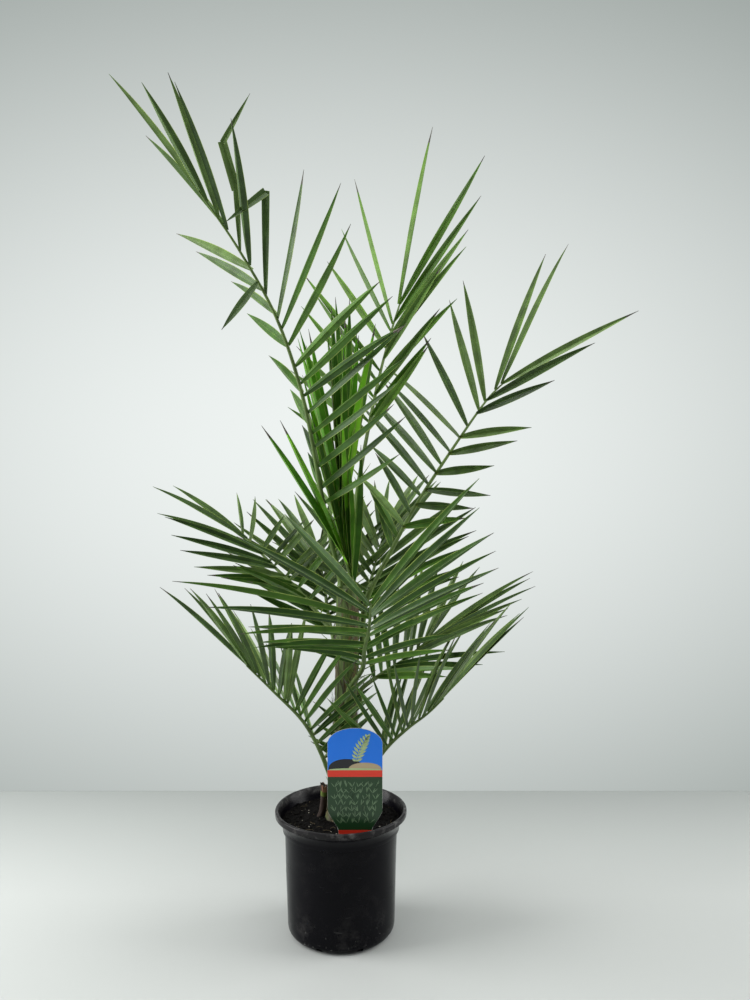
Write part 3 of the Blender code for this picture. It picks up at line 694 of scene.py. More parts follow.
def leaflet_plans(frond, points):
    """Each leaflet's foot on the rib, its frame there, and its own angle, lift, length and twist."""
    chance = np.random.default_rng(frond["seed"])
    plans = []
    for sign, rank in ((1, frond["right"]), (-1, frond["left"])):
        for k in range(rank["count"]):
            share = k / (rank["count"] - 1)
            stray = chance.uniform(-1, 1, 5)
            stride = (LAST_LEAFLET - rank["first"]) / (rank["count"] - 1)
            inner = 0 < k < rank["count"] - 1
            place = rank["first"] + stride * (k + JITTER["place"] * stray[4] * inner)
            direction, upper, side = frame_at(points, place)
            creased = frond.get("creased", {}).get(k) if sign < 0 else None
            plans.append({
                "creases": creased and [along(points, place)] + [np.array(p) for p in creased],
                "width": frond["width"],
                "foot": along(points, place),
                "direction": direction,
                "upper": upper,
                "side": side * sign,
                "sign": sign,
                "angle": blend(rank["angle"], share) + JITTER["angle"] * stray[0],
                "lift": blend(rank["lift"], share) + JITTER["lift"] * frond.get("scatter", 1) * stray[1],
                "length": blend(rank["length"], share) * (1 + JITTER["length"] * stray[2]),
                "twist": blend(np.atleast_1d(rank["twist"]), share) + JITTER["twist"] * stray[3],
                "droop": frond["droop"],
            })
    return plans


def leaflet_line(plan, detour, share):
    """A point of the leaflet's midrib, its heading, and the blade's upper side there."""
    angle = math.radians(plan["angle"] + detour[0])
    lift = math.radians(plan["lift"] + detour[1])
    length = plan["length"] * detour[2]
    away = plan["side"] * math.cos(lift) + plan["upper"] * math.sin(lift)
    heading = unit(plan["direction"] * math.cos(angle) + away * math.sin(angle))
    place = plan["foot"] + heading * length * share
    place[2] -= plan["droop"] * length * share**2
    upper = unit(plan["upper"] - heading * (plan["upper"] @ heading))
    return place, heading, turned_about(upper, heading, plan["twist"] * plan["sign"])


def placed_leaflets(plans, solid):
    """Each leaflet with the detour by which the solid frond's own one clears its neighbours."""
    vertices = solid.data.vertices
    tips = KDTree(len(vertices))
    for vertex in vertices:
        tips.insert(vertex.co, vertex.index)
    tips.balance()
    placed = []
    for plan in plans:
        choices = () if plan["creases"] else DETOURS
        ends = [(leaflet_line(plan, detour, 1.0)[0], detour) for detour in choices]
        met = [detour for end, detour in ends if tips.find(end)[2] < TIP_MATCH]
        placed.append((plan, met[0] if met else DETOURS[0]))
    return placed


def off_stem(point, radius):
    """The point, moved straight out where a petiole of this radius would press into the stem."""
    if point[2] > FORK_HEIGHT:
        return point
    centre, stem_radius = stem_at(point[2])
    away = point - centre
    least = stem_radius + radius * PETIOLE_ROOM + GAP
    return point if np.linalg.norm(away) >= least else centre + unit(away) * least


def rib_radius(share):
    """Radius of a rib at a share of its length."""
    return RIB_TIP_RADIUS + (PETIOLE_RADIUS - RIB_TIP_RADIUS) * (1 - share) ** RIB_TAPER


# ---------------- fronds


def blade_rings(centres, heading, upper, halves, folds):
    """Rings of a thin blade folded up along its midrib, pleated lengthways and keeled below."""
    out = np.abs(BLADE_ACROSS)
    pleats = PLEAT_DEPTH * np.cos(np.arange(len(out)) * math.pi) * (out < 0.9) * (out > 0.1)
    thick = BLADE_THICKNESS * (1 - 0.65 * out)
    keel = KEEL_DEPTH * np.exp(-((out / 0.1) ** 2))
    rings = []
    for centre, side, top, half, fold in zip(centres, np.cross(heading, upper), upper, halves, folds):
        scale = min(1.0, half / FULL_RELIEF)
        rise = out * half * math.tan(fold) + pleats * scale
        flat = centre + BLADE_ACROSS[:, None] * half * side
        high = flat + (rise + thick * scale / 2)[:, None] * top
        low = flat + (rise - thick * scale / 2 - keel * scale)[:, None] * top
        rings.append(np.concatenate([high, low[::-1]]))
    return np.array(rings)


def blade_width(share):
    """Half width of a leaflet along its length, as a share of the greatest."""
    opening = np.clip(share / WIDEST, 0, 1)
    closing = np.clip((share - WIDEST) / (1 - WIDEST), 0, 1)
    return (0.30 + 0.70 * opening**0.75 * (1.6 - 0.6 * opening)) * (1 - closing**1.9)


def blade_paint(green, greens, length, dry_tip):
    """Which material each band and place round a blade takes: one of the greens, or one of those
    that follow them in the piece's list, which are the margin, midrib, foot and dry tip."""
    shares = (np.arange(BLADE_STATIONS - 1) + 0.5) / (BLADE_STATIONS - 1)
    places = np.concatenate([(BLADE_ACROSS[:-1] + BLADE_ACROSS[1:]) / 2, [1.0]])
    places = np.abs(np.concatenate([places, places[::-1][1:], [-1.0]]))
    paint = np.full((BLADE_STATIONS - 1, len(places)), green)
    paint[:, places > MARGIN_FROM] = greens
    paint[:, places < MIDRIB_WITHIN] = greens + 1
    paint[shares * length < FOOT_LENGTH, :] = greens + 2
    paint[shares > 1 - dry_tip, :] = greens + 3
    return paint


def stations_along():
    """Shares of a blade's length, closer together at its foot and tip."""
    even = np.linspace(0, 1, BLADE_STATIONS)
    return even - 0.12 / math.pi * np.sin(math.tau * even)


def leaflet_blade(plan, detour, chance):
    """A fine leaflet on the solid one's own line: folded hard at its foot, opening, closing again."""
    shares = stations_along()
    rows = [leaflet_line(plan, detour, share) for share in shares]
    centres = np.array([place for place, _, _ in rows])
    heading = np.gradient(centres, axis=0)
    heading /= np.linalg.norm(heading, axis=1, keepdims=True)
    curl = chance.uniform(-CURL, CURL)
    upper = np.array([turned_about(top, axis, curl * share) for (_, axis, top), share in zip(rows, shares)])
    halves = np.maximum(plan["width"] / 2 * blade_width(shares), BLADE_LEAST)
    folds = chance.uniform(*OPEN_FOLDS) + FOOT_FOLD * np.exp(-shares / 0.06) + TIP_FOLD * shares**4
    sway = chance.uniform(-SWAY, SWAY) * plan["length"]
    centres = centres + np.cross(heading, upper) * (sway * shares**2 * (1 - shares) * 4)[:, None]
    return blade_rings(centres, heading, upper, halves, np.radians(folds))


def creased_blades(plan):
    """A damaged leaflet: straight stretches that fold over each other at its creases, each with
    whether it is the last."""
    knees = plan["creases"]
    widths = CREASE_WIDTHS[len(knees)]
    front = np.array([0.0, -1.0, 0.0])
    shares = stations_along()
    many = (len(shares), 1)
    folds = np.full(len(shares), math.radians(OPEN_FOLDS[0]))
    stretches = []
    for k, (start, end) in enumerate(zip(knees, knees[1:])):
        heading = unit(end - start)
        upper = unit(front - heading * (front @ heading))
        last = k == len(knees) - 2
        reach = end if last else end + heading * CREASE_LAP
        centres = start + (reach - start) * shares[:, None]
        if k == 0:
            narrowing = widths[0] * blade_width(shares if last else shares * WIDEST)
        else:
            narrowing = widths[k] * (1 - shares**1.8) if last else np.full(len(shares), widths[k])
        halves = np.maximum(plan["width"] / 2 * narrowing, BLADE_LEAST)
        rings = blade_rings(centres, np.tile(heading, many), np.tile(upper, many), halves, folds)
        stretches.append((rings, last))
    return stretches


def rib_rings(points):
    """The rib's fine rings: rounded below, with a shallow groove along its upper side."""
    shares = np.linspace(0, 1, RIB_RINGS) ** 1.15
    turns = turns_round(16)
    groove = 1 - 0.34 * np.exp(-(((turns - math.pi / 2) / 0.45) ** 2))
    rings = []
    for share in shares:
        radius = rib_radius(share)
        centre = off_stem(along(points, share), radius)
        _, upper, side = frame_at(points, share)
        broad = 1 + 0.7 * math.exp(-share / 0.035)
        across = np.cos(turns)[:, None] * side * broad
        rings.append(centre + radius * (across + (np.sin(turns) * groove)[:, None] * upper))
    return np.array(rings)


def spine_rings(points, share, sign, length, chance):
    """A short stiff spine low on the petiole."""
    direction, upper, side = frame_at(points, share)
    angle = math.radians(chance.uniform(38, 60))
    away = unit(side * sign + upper * chance.uniform(0.1, 0.6))
    heading = unit(direction * math.cos(angle) + away * math.sin(angle))
    across = unit(np.cross(heading, upper))
    top = np.cross(across, heading)
    foot = off_stem(along(points, share), rib_radius(share)) + side * sign * rib_radius(share) * 0.6
    section = oval(across, 0.6 * top, turns_round(6))
    rings = []
    for s in np.linspace(0, 1, 6):
        radius = SPINE_RADIUS * (1 - s) ** 0.7 + SPINE_TIP_RADIUS
        rings.append(foot + heading * length * s + section * radius)
    return np.array(rings)


def leaflets(name, frond, route, solid, finishes, chance):
    """A frond's fine leaflets, in greens of its own family or families."""
    families = [FAMILY_OF[name]] if name in FAMILY_OF else ["leaf", "outer_pale_and_lit"]
    greens = [finish for family in families for finish in finishes[family]]
    sheaf = Sheaf()
    for plan, detour in placed_leaflets(leaflet_plans(frond, route), solid):
        # Leaflets beyond the reach take the paler greens, which are partly painted light.
        outer_pale_and_lit = len(families) > 1 and math.hypot(*plan["foot"][:2]) > OUTER_REACH
        green = int(chance.integers(len(finishes[families[outer_pale_and_lit]]))) + outer_pale_and_lit * len(GREENS["leaf"])
        if plan["creases"]:
            for rings, last in creased_blades(plan):
                sheaf.add(rings, blade_paint(green, len(greens), 1.0, CREASED_DRY_TIP if last else -1))
            continue
        rings = leaflet_blade(plan, detour, chance)
        dry_tip = chance.uniform(0.0, DRY_TIP)
        sheaf.add(rings, blade_paint(green, len(greens), plan["length"], dry_tip))
    trim = [finishes[key] for key in ("margin", "midrib", "base", "tip")]
    stand_in(sheaf.piece(name + "_leaflets", greens + trim), "frond", name)


def rib_and_spines(name, frond, route, finishes, chance):
    """A frond's fine rib, with short spines between its foot and its first leaflets."""
    sheaf = Sheaf()
    sheaf.add(rib_rings(route), 0)
    first = min(frond["left"]["first"], frond["right"]["first"])
    for sign in (1, -1):
        for k in range(SPINES):
            share = 0.10 + (first - 0.13) * (k + chance.uniform(0.2, 0.8)) / SPINES
            length = 0.008 + 0.014 * (k + 1) / SPINES
            sheaf.add(spine_rings(route, share, sign, length, chance), 1)
    stand_in(sheaf.piece(name + "_rib", [finishes["rib"], finishes["base"]], 60), "frond", name)


def fronds(frame, finishes):
    """Each frond's leaflets and rib as two fine pieces in place of its node."""
    for name, frond in FRONDS.items():
        route = rib_points(frond)
        chance = np.random.default_rng(100 + frond["seed"])
        leaflets(name, frond, route, frame["nodes"][name], finishes, chance)
        rib_and_spines(name, frond, route, finishes, chance)


# ---------------- stem


def smooth(value):
    """0 below 0, 1 above 1, and an even S between."""
    held = np.clip(value, 0, 1)
    return held * held * (3 - 2 * held)


def leaf_base_feet():
    """Azimuth and height at which each frond leaves the stem."""
    feet = [frond["foot"] for frond in FRONDS.values()]
    return [(azimuth, FORK_HEIGHT if height is None else height) for azimuth, height in feet]


def sheath_reach(foot, height):
    """Degrees to each side that the leaf base of a frond with that foot covers at a height."""
    least, more = SHEATH_CLASP
    return least + more * min(max((foot + SHEATH_RISE - height) / SHEATH_LENGTH, 0), 1) ** 0.8


def stem_relief(turns, height):
    """The clasping leaf bases at a height: how many layers are missing, and nearness to an edge."""
    missing, edge = np.zeros(len(turns)), np.zeros(len(turns))
    for azimuth, foot in leaf_base_feet():
        if height > foot + SHEATH_RISE:
            continue
        reach = math.radians(sheath_reach(foot, height))
        away = np.abs((turns - math.radians(azimuth) + math.pi) % math.tau - math.pi)
        missing += 1 - smooth((reach - away) / SHEATH_EDGE + 0.5)
        edge = np.maximum(edge, np.exp(-(((away - reach) / SHEATH_EDGE) ** 2)))
    return missing, edge


def stem(finishes):
    """The clasping leaf bases: overlapping edges, fibrous margins and lengthways ribs."""
    skins = ("sheath", "fibre", "russet", "soil")
    skin, margin, patch, splash = range(len(skins))
    ground = SOIL_TOP + SOIL_CROWN - 0.002
    turns = turns_round(STEM_SIDES)
    rings, paint = [], []
    for height in np.linspace(ground, FORK_HEIGHT, STEM_RINGS):
        centre, radius = stem_at(float(height))
        missing, edge = stem_relief(turns, height)
        fibre = round_noise(turns, 40, height * 60)
        swell = round_noise(turns, 3, height * 55)
        out = radius + STEM_SKIN - LAYER * missing + EDGE_LIP * edge + FIBRE_RELIEF * fibre + SWELLING * swell
        out = out - TOP_DRAW * (height >= FORK_HEIGHT - 0.0001)
        rings.append(centre + level_ring(turns, out))
        stains = round_noise(turns, 2, height * 34 + 7)
        row = np.where(edge > 0.72, margin, skin)
        row = np.where((row == skin) & (stains > 0.20 + 0.5 * (height - 0.27)), patch, row)
        row = np.where(height + 0.012 * stains < ground + STEM_SPLASH, splash, row)
        paint.append(row)
    body = Sheaf()
    body.add(np.array(rings), np.array(paint)[:-1])
    stand_in(body.piece("stem_leaf_bases", [finishes[key] for key in skins], 50), "leaf_bases", "stem")


def strands(finishes):
    """Loose brown fibres along the edges of the leaf bases."""
    chance = np.random.default_rng(21)
    sheaf = Sheaf()
    for azimuth, foot in leaf_base_feet():
        for _ in range(FIBRES):
            low = max(SOIL_TOP + 0.012, foot - chance.uniform(0.01, 0.08))
            side = chance.choice([-1, 1])
            turn = math.radians(azimuth + side * sheath_reach(foot, low) + chance.uniform(-4, 4))
            length = chance.uniform(0.008, 0.024)
            drift, splay = chance.uniform(-0.35, 0.35), chance.uniform(0.0005, 0.0040)
            rings = []
            for s in np.linspace(0, 1, 7):
                centre, radius = stem_at(min(low + length * s, FORK_HEIGHT))
                outward, _ = facing(turn + drift * s)
                place = centre + outward * (radius + 0.0008 + splay * s**2)
                rings.append(place + level_ring(turns_round(4), FIBRE_RADIUS * (1 - 0.7 * s)))
            sheaf.add(np.array(rings), 0)
    stand_in(sheaf.piece("leaf_base_fibres", [finishes["fibre"]]), "leaf_bases")


def cut_leaf_base(finishes):
    """The stub of a frond that was cut away: brown at its foot and its torn slanting top, with a
    green stretch below the dry skin."""
    skins = ("dry", "base", "cut")
    dry, green, brown = range(len(skins))
    outward, side = facing(math.radians(STUB_AZIMUTH))
    turns = turns_round(STUB_SIDES)
    rings, paint = [], []
    for height in np.linspace(STUB_FOOT - 0.006, STUB_TOP - 0.004, STUB_RINGS):
        centre, radius = stem_at(float(height))
        share = (height - STUB_FOOT) / (STUB_TOP - STUB_FOOT)
        place = centre + outward * (radius + STUB_RADIUS * PETIOLE_ROOM + GAP + 0.004 * max(share, 0))
        ragged = round_noise(turns, 2, height * 150)
        size = STUB_RADIUS * (1.12 - 0.16 * share) * (1 + 0.10 * ragged)
        slant = np.zeros((len(turns), 3))
        slant[:, 2] = 0.0035 * max(share, 0) ** 3 * (np.cos(turns) + 0.5 * ragged)
        rings.append(place + oval(0.85 * outward, 1.1 * side, turns) * size[:, None] + slant)
        skin = brown if share < 0.50 else green if share < 0.66 else dry
        paint.append(np.where((np.cos(turns) > 0.35) & (skin == dry), brown, skin))
    top = rings[-1]
    middle = top.mean(axis=0)
    for shrink in (0.8, 0.4, 0.02):
        rings.append(middle + (top - middle) * shrink - np.array([0, 0, 0.0008]) * (1 - shrink))
        paint.append(np.full(len(turns), brown))
    body = Sheaf()
    body.add(np.array(rings), np.array(paint)[:-1])
    obj = body.piece("cut_leaf_base_dry", [finishes[key] for key in skins], 50)
    stand_in(obj, "dry_leaf_base", "cut_leaf_base")


# ---------------- pot and compost


def arc(centre, radius, start, end, steps):
    """Points of an arc in a profile, angles in degrees from +radius towards +height."""
    turn = [math.radians(start + (end - start) * k / steps) for k in range(steps + 1)]
    return [(centre[0] + radius * math.cos(a), centre[1] + radius * math.sin(a)) for a in turn]


def inner_radius(height):
    """Inner radius of the collar at a height: it flares to the rim."""
    flared = max(0.0, 1 - (POT_HEIGHT - height) / FLARE_DEPTH)
    return COLLAR_RADIUS - WALL + flared * (RIM_RADIUS - RIM_WIDTH - COLLAR_RADIUS + WALL)


def pot_profile():
    """The pot's section from the inside floor over the rim and down to the middle of its underside."""
    collar_foot, flare_foot = POT_HEIGHT - COLLAR_DEPTH, POT_HEIGHT - FLARE_DEPTH
    lip, edge = 0.0012, 0.0016
    inner_foot = BODY_FOOT_RADIUS - WALL - FOOT_ROUNDING
    body_top = body_radius(collar_foot)
    profile = [(0.0004, FLOOR), (0.03, FLOOR)]
    profile += arc((inner_foot, FLOOR + FOOT_ROUNDING), FOOT_ROUNDING, -80, 0, 6)
    profile += [(body_top - WALL, collar_foot), (COLLAR_RADIUS - WALL, collar_foot + 0.0015)]
    profile += [(inner_radius(h), h) for h in np.linspace(flare_foot - 0.0015, POT_HEIGHT - lip, 8)]
    profile += arc((RIM_RADIUS - RIM_WIDTH + lip, POT_HEIGHT - lip), lip, 150, 84, 5)
    profile += arc((RIM_RADIUS - edge, POT_HEIGHT - edge), edge, 84, 6, 7)
    profile += arc((RIM_RADIUS - edge, POT_HEIGHT - RIM_DEPTH + edge), edge, -6, -80, 6)
    profile += [
        (COLLAR_RADIUS + 0.0042, POT_HEIGHT - RIM_DEPTH - 0.0022),
        (COLLAR_RADIUS + 0.0016, flare_foot + 0.0032), (COLLAR_RADIUS + 0.0004, flare_foot + 0.0006),
        (COLLAR_RADIUS, flare_foot - 0.0010), (COLLAR_RADIUS, collar_foot + 0.0011),
        (COLLAR_RADIUS - 0.0003, collar_foot + 0.0003), (body_top + 0.0006, collar_foot - 0.0005),
    ]
    profile += [(body_radius(h), h) for h in np.linspace(collar_foot - 0.0012, FOOT_ROUNDING + 0.001, 18)]
    profile += arc((BODY_FOOT_RADIUS - FOOT_ROUNDING, FOOT_ROUNDING), FOOT_ROUNDING, 0, -90, 10)
    profile += [(0.040, 0.0), (0.0004, 0.0)]
    return np.array(profile)


def pot(finishes):
    """The thin-walled pot, turned finely and very slightly out of round, with its drain slots cut."""
    turns = turns_round(POT_SIDES)
    rings = []
    for radius, height in pot_profile():
        wave = 0.00022 * np.sin(2 * turns + 0.8) + 0.00014 * np.sin(5 * turns + 9 * height / POT_HEIGHT)
        rings.append(level_ring(turns, radius * (1 + wave / RIM_RADIUS), height))
    shell = Sheaf()
    shell.add(np.array(rings), 0)
    obj = shell.piece("pot_shell", [finishes["pot"]], 38)
    for k in range(DRAIN_SLOTS):
        turn = math.tau * (k + 0.5) / DRAIN_SLOTS
        outward, _ = facing(turn)
        bpy.ops.mesh.primitive_cube_add(
            size=1,
            location=outward * BODY_FOOT_RADIUS + np.array([0, 0, FOOT_ROUNDING * 0.35]),
            rotation=(0, 0, turn),
            scale=(FOOT_ROUNDING * 1.3, DRAIN_WIDTH, FOOT_ROUNDING * 0.55),
        )
        cutter = bpy.context.object
        cut = obj.modifiers.new("drain", "BOOLEAN")
        cut.operation, cut.object, cut.solver = "DIFFERENCE", cutter, "EXACT"
        bpy.context.view_layer.objects.active = obj
        bpy.ops.object.modifier_apply(modifier=cut.name)
        bpy.data.objects.remove(cutter, do_unlink=True)
    obj.data.set_sharp_from_angle(angle=math.radians(38))
    stand_in(obj, "pot_plastic", "pot")


def soil_height(x, y):
    """Height of the compost's surface, lumpy over the solid's smooth one."""
    radius = math.hypot(x, y)
    crown = SOIL_CROWN * (1 - smooth((radius - 0.02) / 0.025))
    sunk = 0.001 * smooth((radius - 0.04) / 0.025)
    coarse = noise.fractal(Vector((x * 90, y * 90, 3.1)), 0.9, 2.0, 3)
    fine = noise.fractal(Vector((x * 420, y * 420, 8.7)), 0.8, 2.1, 4)
    return float(SOIL_TOP + crown - sunk) + COMPOST_RELIEF + 0.0012 * coarse + 0.0007 * fine


def compost_surface(edge, finishes):
    """The crumbly surface over the solid's smooth one, out to the pot."""
    radii = np.concatenate([[0.0003], np.linspace(0.0012, edge, COMPOST_RINGS)])
    turns = turns_round(COMPOST_SIDES)
    flat = [(radius * math.cos(turn), radius * math.sin(turn)) for radius in radii for turn in turns]
    points = [(x, y, soil_height(x, y)) for x, y in flat]
    index = np.arange(len(points)).reshape(len(radii), len(turns))
    ahead = np.roll(index, -1, axis=1)
    faces = np.stack([index[:-1], index[1:], ahead[1:], ahead[:-1]], axis=-1).reshape(-1, 4)
    stand_in(piece("compost_surface", points, faces, [finishes["soil"]]), "compost")


def strewn(count, edge, chance, least=0.020):
    """Places on the compost, clear of the stem, the pot and the label."""
    places = []
    while len(places) < count:
        x, y = chance.uniform(-edge, edge, 2)
        at_label = abs(x - LABEL_PLACE[0]) < LABEL_WIDTH / 2 and abs(y - LABEL_PLACE[1]) < 0.0015
        if least < math.hypot(x, y) < edge - 0.002 and not at_label:
            places.append((x, y, soil_height(x, y)))
    return np.array(places)


def straw_rings(x, y, edge, chance):
    """A bent bit of straw that lies along the compost."""
    turn, bend = chance.uniform(0, math.tau), chance.uniform(-1.2, 1.2)
    length, thick = chance.uniform(0.004, 0.014), chance.uniform(0.00018, 0.00038)
    place, rings = np.array([x, y]), []
    for s in np.linspace(0, 1, STRAW_STATIONS):
        heading, side = facing(turn + bend * s)
        stride = length / (STRAW_STATIONS - 1) * (np.hypot(*place) < edge - 0.003)
        place = place + heading[:2] * stride
        centre = np.array([*place, soil_height(*place) + thick + 0.0012 * math.sin(math.pi * s)])
        rings.append(centre + oval(side, np.array([0, 0, 1]), turns_round(6)) * thick * (1 - 0.4 * s))
    return np.array(rings)


def soil(frame, finishes):
    """Compost over the solid's own, with crumbs, pale flecks and bits of straw."""
    edge = inner_radius(SOIL_TOP + 0.001)
    compost_surface(edge, finishes)
    frame["nodes"]["soil"].data.materials.clear()
    frame["nodes"]["soil"].data.materials.append(finishes["soil"])

    chance = np.random.default_rng(31)
    crumbs = strewn(CRUMBS, edge, chance)
    sizes = 0.0006 + 0.0019 * chance.uniform(0, 1, CRUMBS) ** 3
    points, faces, paint = lumps(crumbs, sizes, chance)
    stand_in(piece("compost_crumbs", points, faces, [finishes["soil"]], paint, 30), "compost")
    flecks = strewn(FLECKS, edge, chance) + np.array([0, 0, 0.0006])
    sizes = 0.0004 + 0.0008 * chance.uniform(0, 1, FLECKS) ** 2
    points, faces, paint = lumps(flecks, sizes, chance, 0.6, chance.integers(0, 2, FLECKS))
    pale = [finishes["fleck"], finishes["straw"]]
    stand_in(piece("compost_flecks", points, faces, pale, paint, 30), "compost")
    straw = Sheaf()
    for x, y, _ in strewn(STRAWS, edge, chance, 0.024):
        straw.add(straw_rings(x, y, edge, chance), 0)
    stand_in(straw.piece("compost_straw", [finishes["straw"]]), "compost")


# ---------------- label


def label_half_width(height):
    """Half the label's width at a height."""
    half, foot = LABEL_WIDTH / 2, LABEL_FOOT_WIDTH / 2
    if height >= LABEL_SHOULDER:
        rise = (height - LABEL_SHOULDER) / (LABEL_TOP - LABEL_SHOULDER)
        return half * math.sqrt(max(0.0, 1 - rise * rise))
    knots = [
        (LABEL_FOOT, foot * 0.3), (LABEL_FOOT + 0.012, foot), (LABEL_TAPER - 0.019, foot * 1.25),
        (LABEL_TAPER - 0.009, half * 0.84), (LABEL_TAPER, half),
    ]
    return float(np.interp(height, [k[0] for k in knots], [k[1] for k in knots]))


def plate(outline, depth, thickness):
    """Rings of a flat plate with that outline (x, z about the label's middle), its back at a depth in
    front of the card's own middle. The outline is star-shaped about its mean."""
    outline = np.asarray(outline)
    middle = outline.mean(axis=0)
    rings = []
    for y, shrink in ((-depth, 1e-4), (-depth, 1.0), (-depth - thickness, 1.0), (-depth - thickness, 1e-4)):
        flat = middle + (outline - middle) * shrink
        rings.append(np.stack([flat[:, 0], np.full(len(flat), y), flat[:, 1]], axis=-1))
    return np.array(rings)


def field(low, high, steps, inset=PRINT_INSET):
    """Outline of the label between two heights, a little inside its edge; above the shoulders it
    runs round the arched top."""
    heights = np.linspace(low, min(high, LABEL_SHOULDER), steps)
    right = [(label_half_width(h) - inset, h) for h in heights]
    half, rise = LABEL_WIDTH / 2 - inset, LABEL_TOP - inset - LABEL_SHOULDER
    turns = [math.pi * k / ARCH_STEPS for k in range(1, ARCH_STEPS)] if high > LABEL_SHOULDER else []
    arch = [(half * math.cos(turn), LABEL_SHOULDER + rise * math.sin(turn)) for turn in turns]
    return right + arch + [(-x, h) for x, h in reversed(right)]


def lens(foot, tip, width, steps=10):
    """Outline of a plain pointed leaf from foot to tip."""
    foot, tip = np.asarray(foot), np.asarray(tip)
    run = tip - foot
    side = np.array([-run[1], run[0]]) / np.linalg.norm(run) * width / 2
    shares = np.linspace(0, 1, steps)
    return [foot + run * s + side * math.sin(math.pi * s) for s in shares] + [
        foot + run * s - side * math.sin(math.pi * s) for s in shares[::-1][1:-1]
    ]


def print_hills(printed):
    """Two plain hills and a pale shore along the bottom of the blue field."""
    reach = LABEL_WIDTH / 2 - 0.0010
    spans = np.linspace(0, math.pi, 25)
    for left, right, rise, ink, layer in HILLS:
        middle, half_span = (left + right) / 2 * reach, (right - left) / 2 * reach
        hill = [(middle + half_span * math.cos(a), BAND_TOP + rise * math.sin(a) ** 0.8) for a in spans]
        printed(hill, ink, layer)


def print_sprig(printed):
    """Leaves in pairs up a gently bent stalk."""
    shares = np.linspace(0, 1, SPRIG_PAIRS)
    across, height = SPRIG_FOOT
    knots = np.stack([across + SPRIG_BEND * shares**1.4, height + SPRIG_RISE * shares], axis=-1)
    for k, (share, knot) in enumerate(zip(shares, knots)):
        size = SPRIG_LEAF * math.sin(math.pi * (0.22 + 0.62 * share))
        turn = math.radians(62 - 30 * share)
        for sign in (-1, 1):
            run = np.array([sign * math.sin(turn) + 0.25, math.cos(turn)])
            printed(lens(knot, knot + run * size, 0.0026), "pale_green", 5)
        if k + 1 < SPRIG_PAIRS:
            after = knots[k + 1]
            printed(lens(knot, after + (after - knot) * 0.3, 0.0009), "pale_green", 5)


def print_grass(printed):
    """Slender blades of grass in staggered tufts over the green field."""
    chance = np.random.default_rng(41)
    for row in range(TUFT_ROWS):
        tufts = 8 - row % 2
        for column in range(tufts):
            x = (column - (tufts - 1) / 2) * TUFT_PITCH[0]
            foot = np.array([x, TUFT_TOP - TUFT_PITCH[1] * row])
            if abs(x) > label_half_width(foot[1]) - 0.006:
                continue
            for turn in chance.uniform(-0.9, 0.9, 3):
                tip = foot + chance.uniform(0.005, 0.009) * np.array([math.sin(turn), math.cos(turn)])
                printed(lens(foot, tip, 0.0008, 5), "mid_green", 3)


def label():
    """A plain plant label: a blue field, a red band and a green field, with a generic picture."""
    card = Sheaf()
    half = LABEL_THICKNESS / 2
    inks = list(LABEL_COLOURS)
    card.add(plate(field(LABEL_FOOT, LABEL_TOP, 26, inset=0), -half, LABEL_THICKNESS), 0, capped=False)

    def printed(shape, ink, layer=1):
        card.add(plate(shape, half - PRINT_SINK, PRINT_RELIEF * layer), inks.index(ink), capped=False)

    printed(field(BAND_TOP, LABEL_TOP, 6), "blue")
    printed(field(BAND_FOOT, BAND_TOP, 4), "red", 2)
    printed(field(FIELD_FOOT, BAND_FOOT, 40), "green")
    printed(field(STRIP_FOOT, FIELD_FOOT, 6), "red")
    print_hills(printed)
    print_sprig(printed)
    print_grass(printed)
    skins = [
        surface(f"label_{ink}", colour, 0.38 if ink == "white_card" else 0.30, bump=(600, 0.00002))
        for ink, colour in LABEL_COLOURS.items()
    ]
    obj = card.piece("label_printed", skins, 30)
    for vertex in obj.data.vertices:
        vertex.co.x += LABEL_PLACE[0]
        vertex.co.y += LABEL_PLACE[1]
    stand_in(obj, "label_card", "label")


# ---------------- stage, light and camera


def backdrop_material():
    """A backdrop that glows by itself with painted light, brightest behind the crown and dimmer towards the
    top and the sides.
    """
    made = surface("stage_backdrop_painted_glow", (0, 0, 0), 1.0, Specular_IOR_Level=0.0)
    tree, shader = made.node_tree, shader_of(made)
    place = tree.nodes.new("ShaderNodeTexCoord")
    mapping = tree.nodes.new("ShaderNodeMapping")
    for key, value in BACKDROP_GLOW.items():
        mapping.inputs[key].default_value = value
    glow = tree.nodes.new("ShaderNodeTexGradient")
    glow.gradient_type = "SPHERICAL"
    tree.links.new(place.outputs["Object"], mapping.inputs["Vector"])
    tree.links.new(mapping.outputs["Vector"], glow.inputs["Vector"])
    near = spread(tree, glow.outputs["Fac"], 0.0, 1.0, way="SMOOTHSTEP")
    tree.links.new(mixed(tree, near, BACKDROP_PAINTED_LIGHT_EDGE, BACKDROP_PAINTED_LIGHT_HEART), shader.inputs["Emission Color"])
    shader.inputs["Emission Strength"].default_value = 1.0
    return made


def floor_material():
    """Pale paper with painted shade: a little darker along the far edge and to the right."""
    made = surface("stage_paper_painted_shade", FLOOR_PALE, 0.9, Specular_IOR_Level=0.1)
    tree = made.node_tree
    place = own_place(tree)
    # Painted shade: darker towards the far edge.
    far = spread(tree, place["Y"], 0.08, 0.42)
    # Painted shade: darker to the right.
    right = spread(tree, place["X"], 0.12, 0.90, 1.0, 0.70)
    colour = mixed(tree, right, FLOOR_RIGHT_PAINTED_SHADE, mixed(tree, far, FLOOR_PALE, FLOOR_FAR_PAINTED_SHADE))
    tree.links.new(colour, shader_of(made).inputs["Base Color"])
    return made


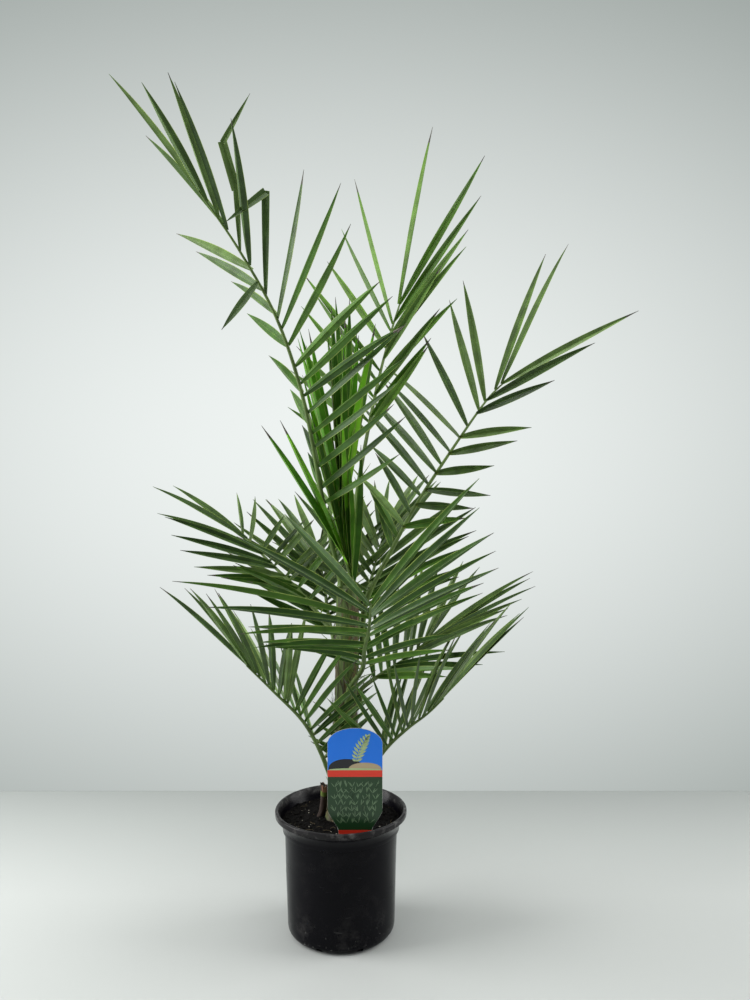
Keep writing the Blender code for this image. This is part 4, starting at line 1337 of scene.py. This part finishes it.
def stage():
    """A pale floor that drops away at its far edge, and a wall well behind it, so that the plant can
    be seen from every side."""
    middle = STAGE_EDGE - STAGE_TURN
    section = [(STAGE_NEAR, 0.0), (middle, 0.0)]
    section += arc((middle, -STAGE_TURN), STAGE_TURN, 90, 0, 11)[1:]
    section += [(STAGE_EDGE, -STAGE_DROP), (STAGE_FAR, -STAGE_DROP)]
    sides = (-STAGE_HALF_WIDTH, STAGE_HALF_WIDTH)
    points = [(x, y, z) for y, z in section for x in sides]
    faces = [(2 * k, 2 * k + 1, 2 * k + 3, 2 * k + 2) for k in range(len(section) - 1)]
    piece("stage_floor", points, faces, [floor_material()], sharp=60)
    corners = [(x, STAGE_FAR, z) for z in (-STAGE_DROP, STAGE_TOP) for x in sides]
    # The wall is no lamp: it glows with painted light.
    piece("stage_wall", corners, [(0, 1, 3, 2)], [backdrop_material()])


def area_light(name, place, target, size, power):
    """A soft rectangular panel that faces the target."""
    light = bpy.data.lights.new(name, "AREA")
    light.shape = "RECTANGLE"
    light.size, light.size_y = size
    light.energy = power
    obj = bpy.data.objects.new(name, light)
    bpy.context.scene.collection.objects.link(obj)
    obj.location = place
    obj.rotation_euler = (Vector(target) - Vector(place)).to_track_quat("-Z", "Y").to_euler()
    obj.visible_camera = False


def light():
    """A light tent: soft panels at both sides and above, and a dim front where the camera stands."""
    world = bpy.data.worlds.new("studio")
    bpy.context.scene.world = world
    world.use_nodes = True
    shade = world.node_tree.nodes["Background"]
    shade.inputs["Color"].default_value = (*FILL_TINT, 1)
    shade.inputs["Strength"].default_value = FILL_STRENGTH
    for name, panel in PANELS.items():
        area_light(name, *panel)
    bpy.context.scene.view_settings.view_transform = "Standard"


def camera():
    """The camera stands in front of the plant and looks slightly down."""
    view = bpy.data.cameras.new("camera")
    view.lens = FOCAL
    view.sensor_width = 36.0
    view.sensor_fit = "AUTO"
    obj = bpy.data.objects.new("camera", view)
    bpy.context.scene.collection.objects.link(obj)
    obj.location = CAMERA_PLACE
    obj.rotation_euler = (math.radians(90 - CAMERA_DOWN), 0, 0)
    bpy.context.scene.camera = obj


def materials():
    """Every finish by its name; each family of greens is a list."""
    families = {
        family: [
            leaf_material(f"{family}_green_{k}", colour, 0.38 if family in ("young_and_backlit", "spear") else 0.40)
            for k, colour in enumerate(greens)
        ]
        for family, greens in GREENS.items()
    }
    return families | {
        "margin": leaf_material("leaflet_margin", (142, 162, 78)),
        "midrib": leaf_material("leaflet_midrib", (98, 128, 54)),
        "base": leaf_material("leaflet_foot", (104, 122, 54), 0.5),
        "tip": leaf_material("leaflet_dry_tip", (98, 94, 84), 0.75),
        "rib": leaf_material("rib_green", (92, 114, 58)),
        "sheath": sheath_material("leaf_base_skin", (50, 66, 24), (90, 112, 44)),
        "fibre": sheath_material("leaf_base_fibre", (50, 46, 24), (84, 78, 42)),
        "russet": sheath_material("leaf_base_russet", (64, 58, 28), (98, 82, 44)),
        "dry": sheath_material("dry_stub_skin", (120, 78, 60), (176, 132, 108)),
        "cut": surface("dry_stub_cut", (48, 34, 26), 0.85, bump=(1500, 0.0004)),
        "pot": pot_material(),
        "soil": soil_material(),
        "fleck": surface("compost_pale_fleck", (168, 162, 148), 0.85, bump=(2000, 0.0002)),
        "straw": surface("compost_straw_bit", (78, 66, 42), 0.8, bump=(2000, 0.0002)),
    }


def main():
    """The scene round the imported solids."""
    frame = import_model()
    camera()
    light()
    stage()
    finishes = materials()
    fronds(frame, finishes)
    stem(finishes)
    strands(finishes)
    cut_leaf_base(finishes)
    pot(finishes)
    soil(frame, finishes)
    label()


main()
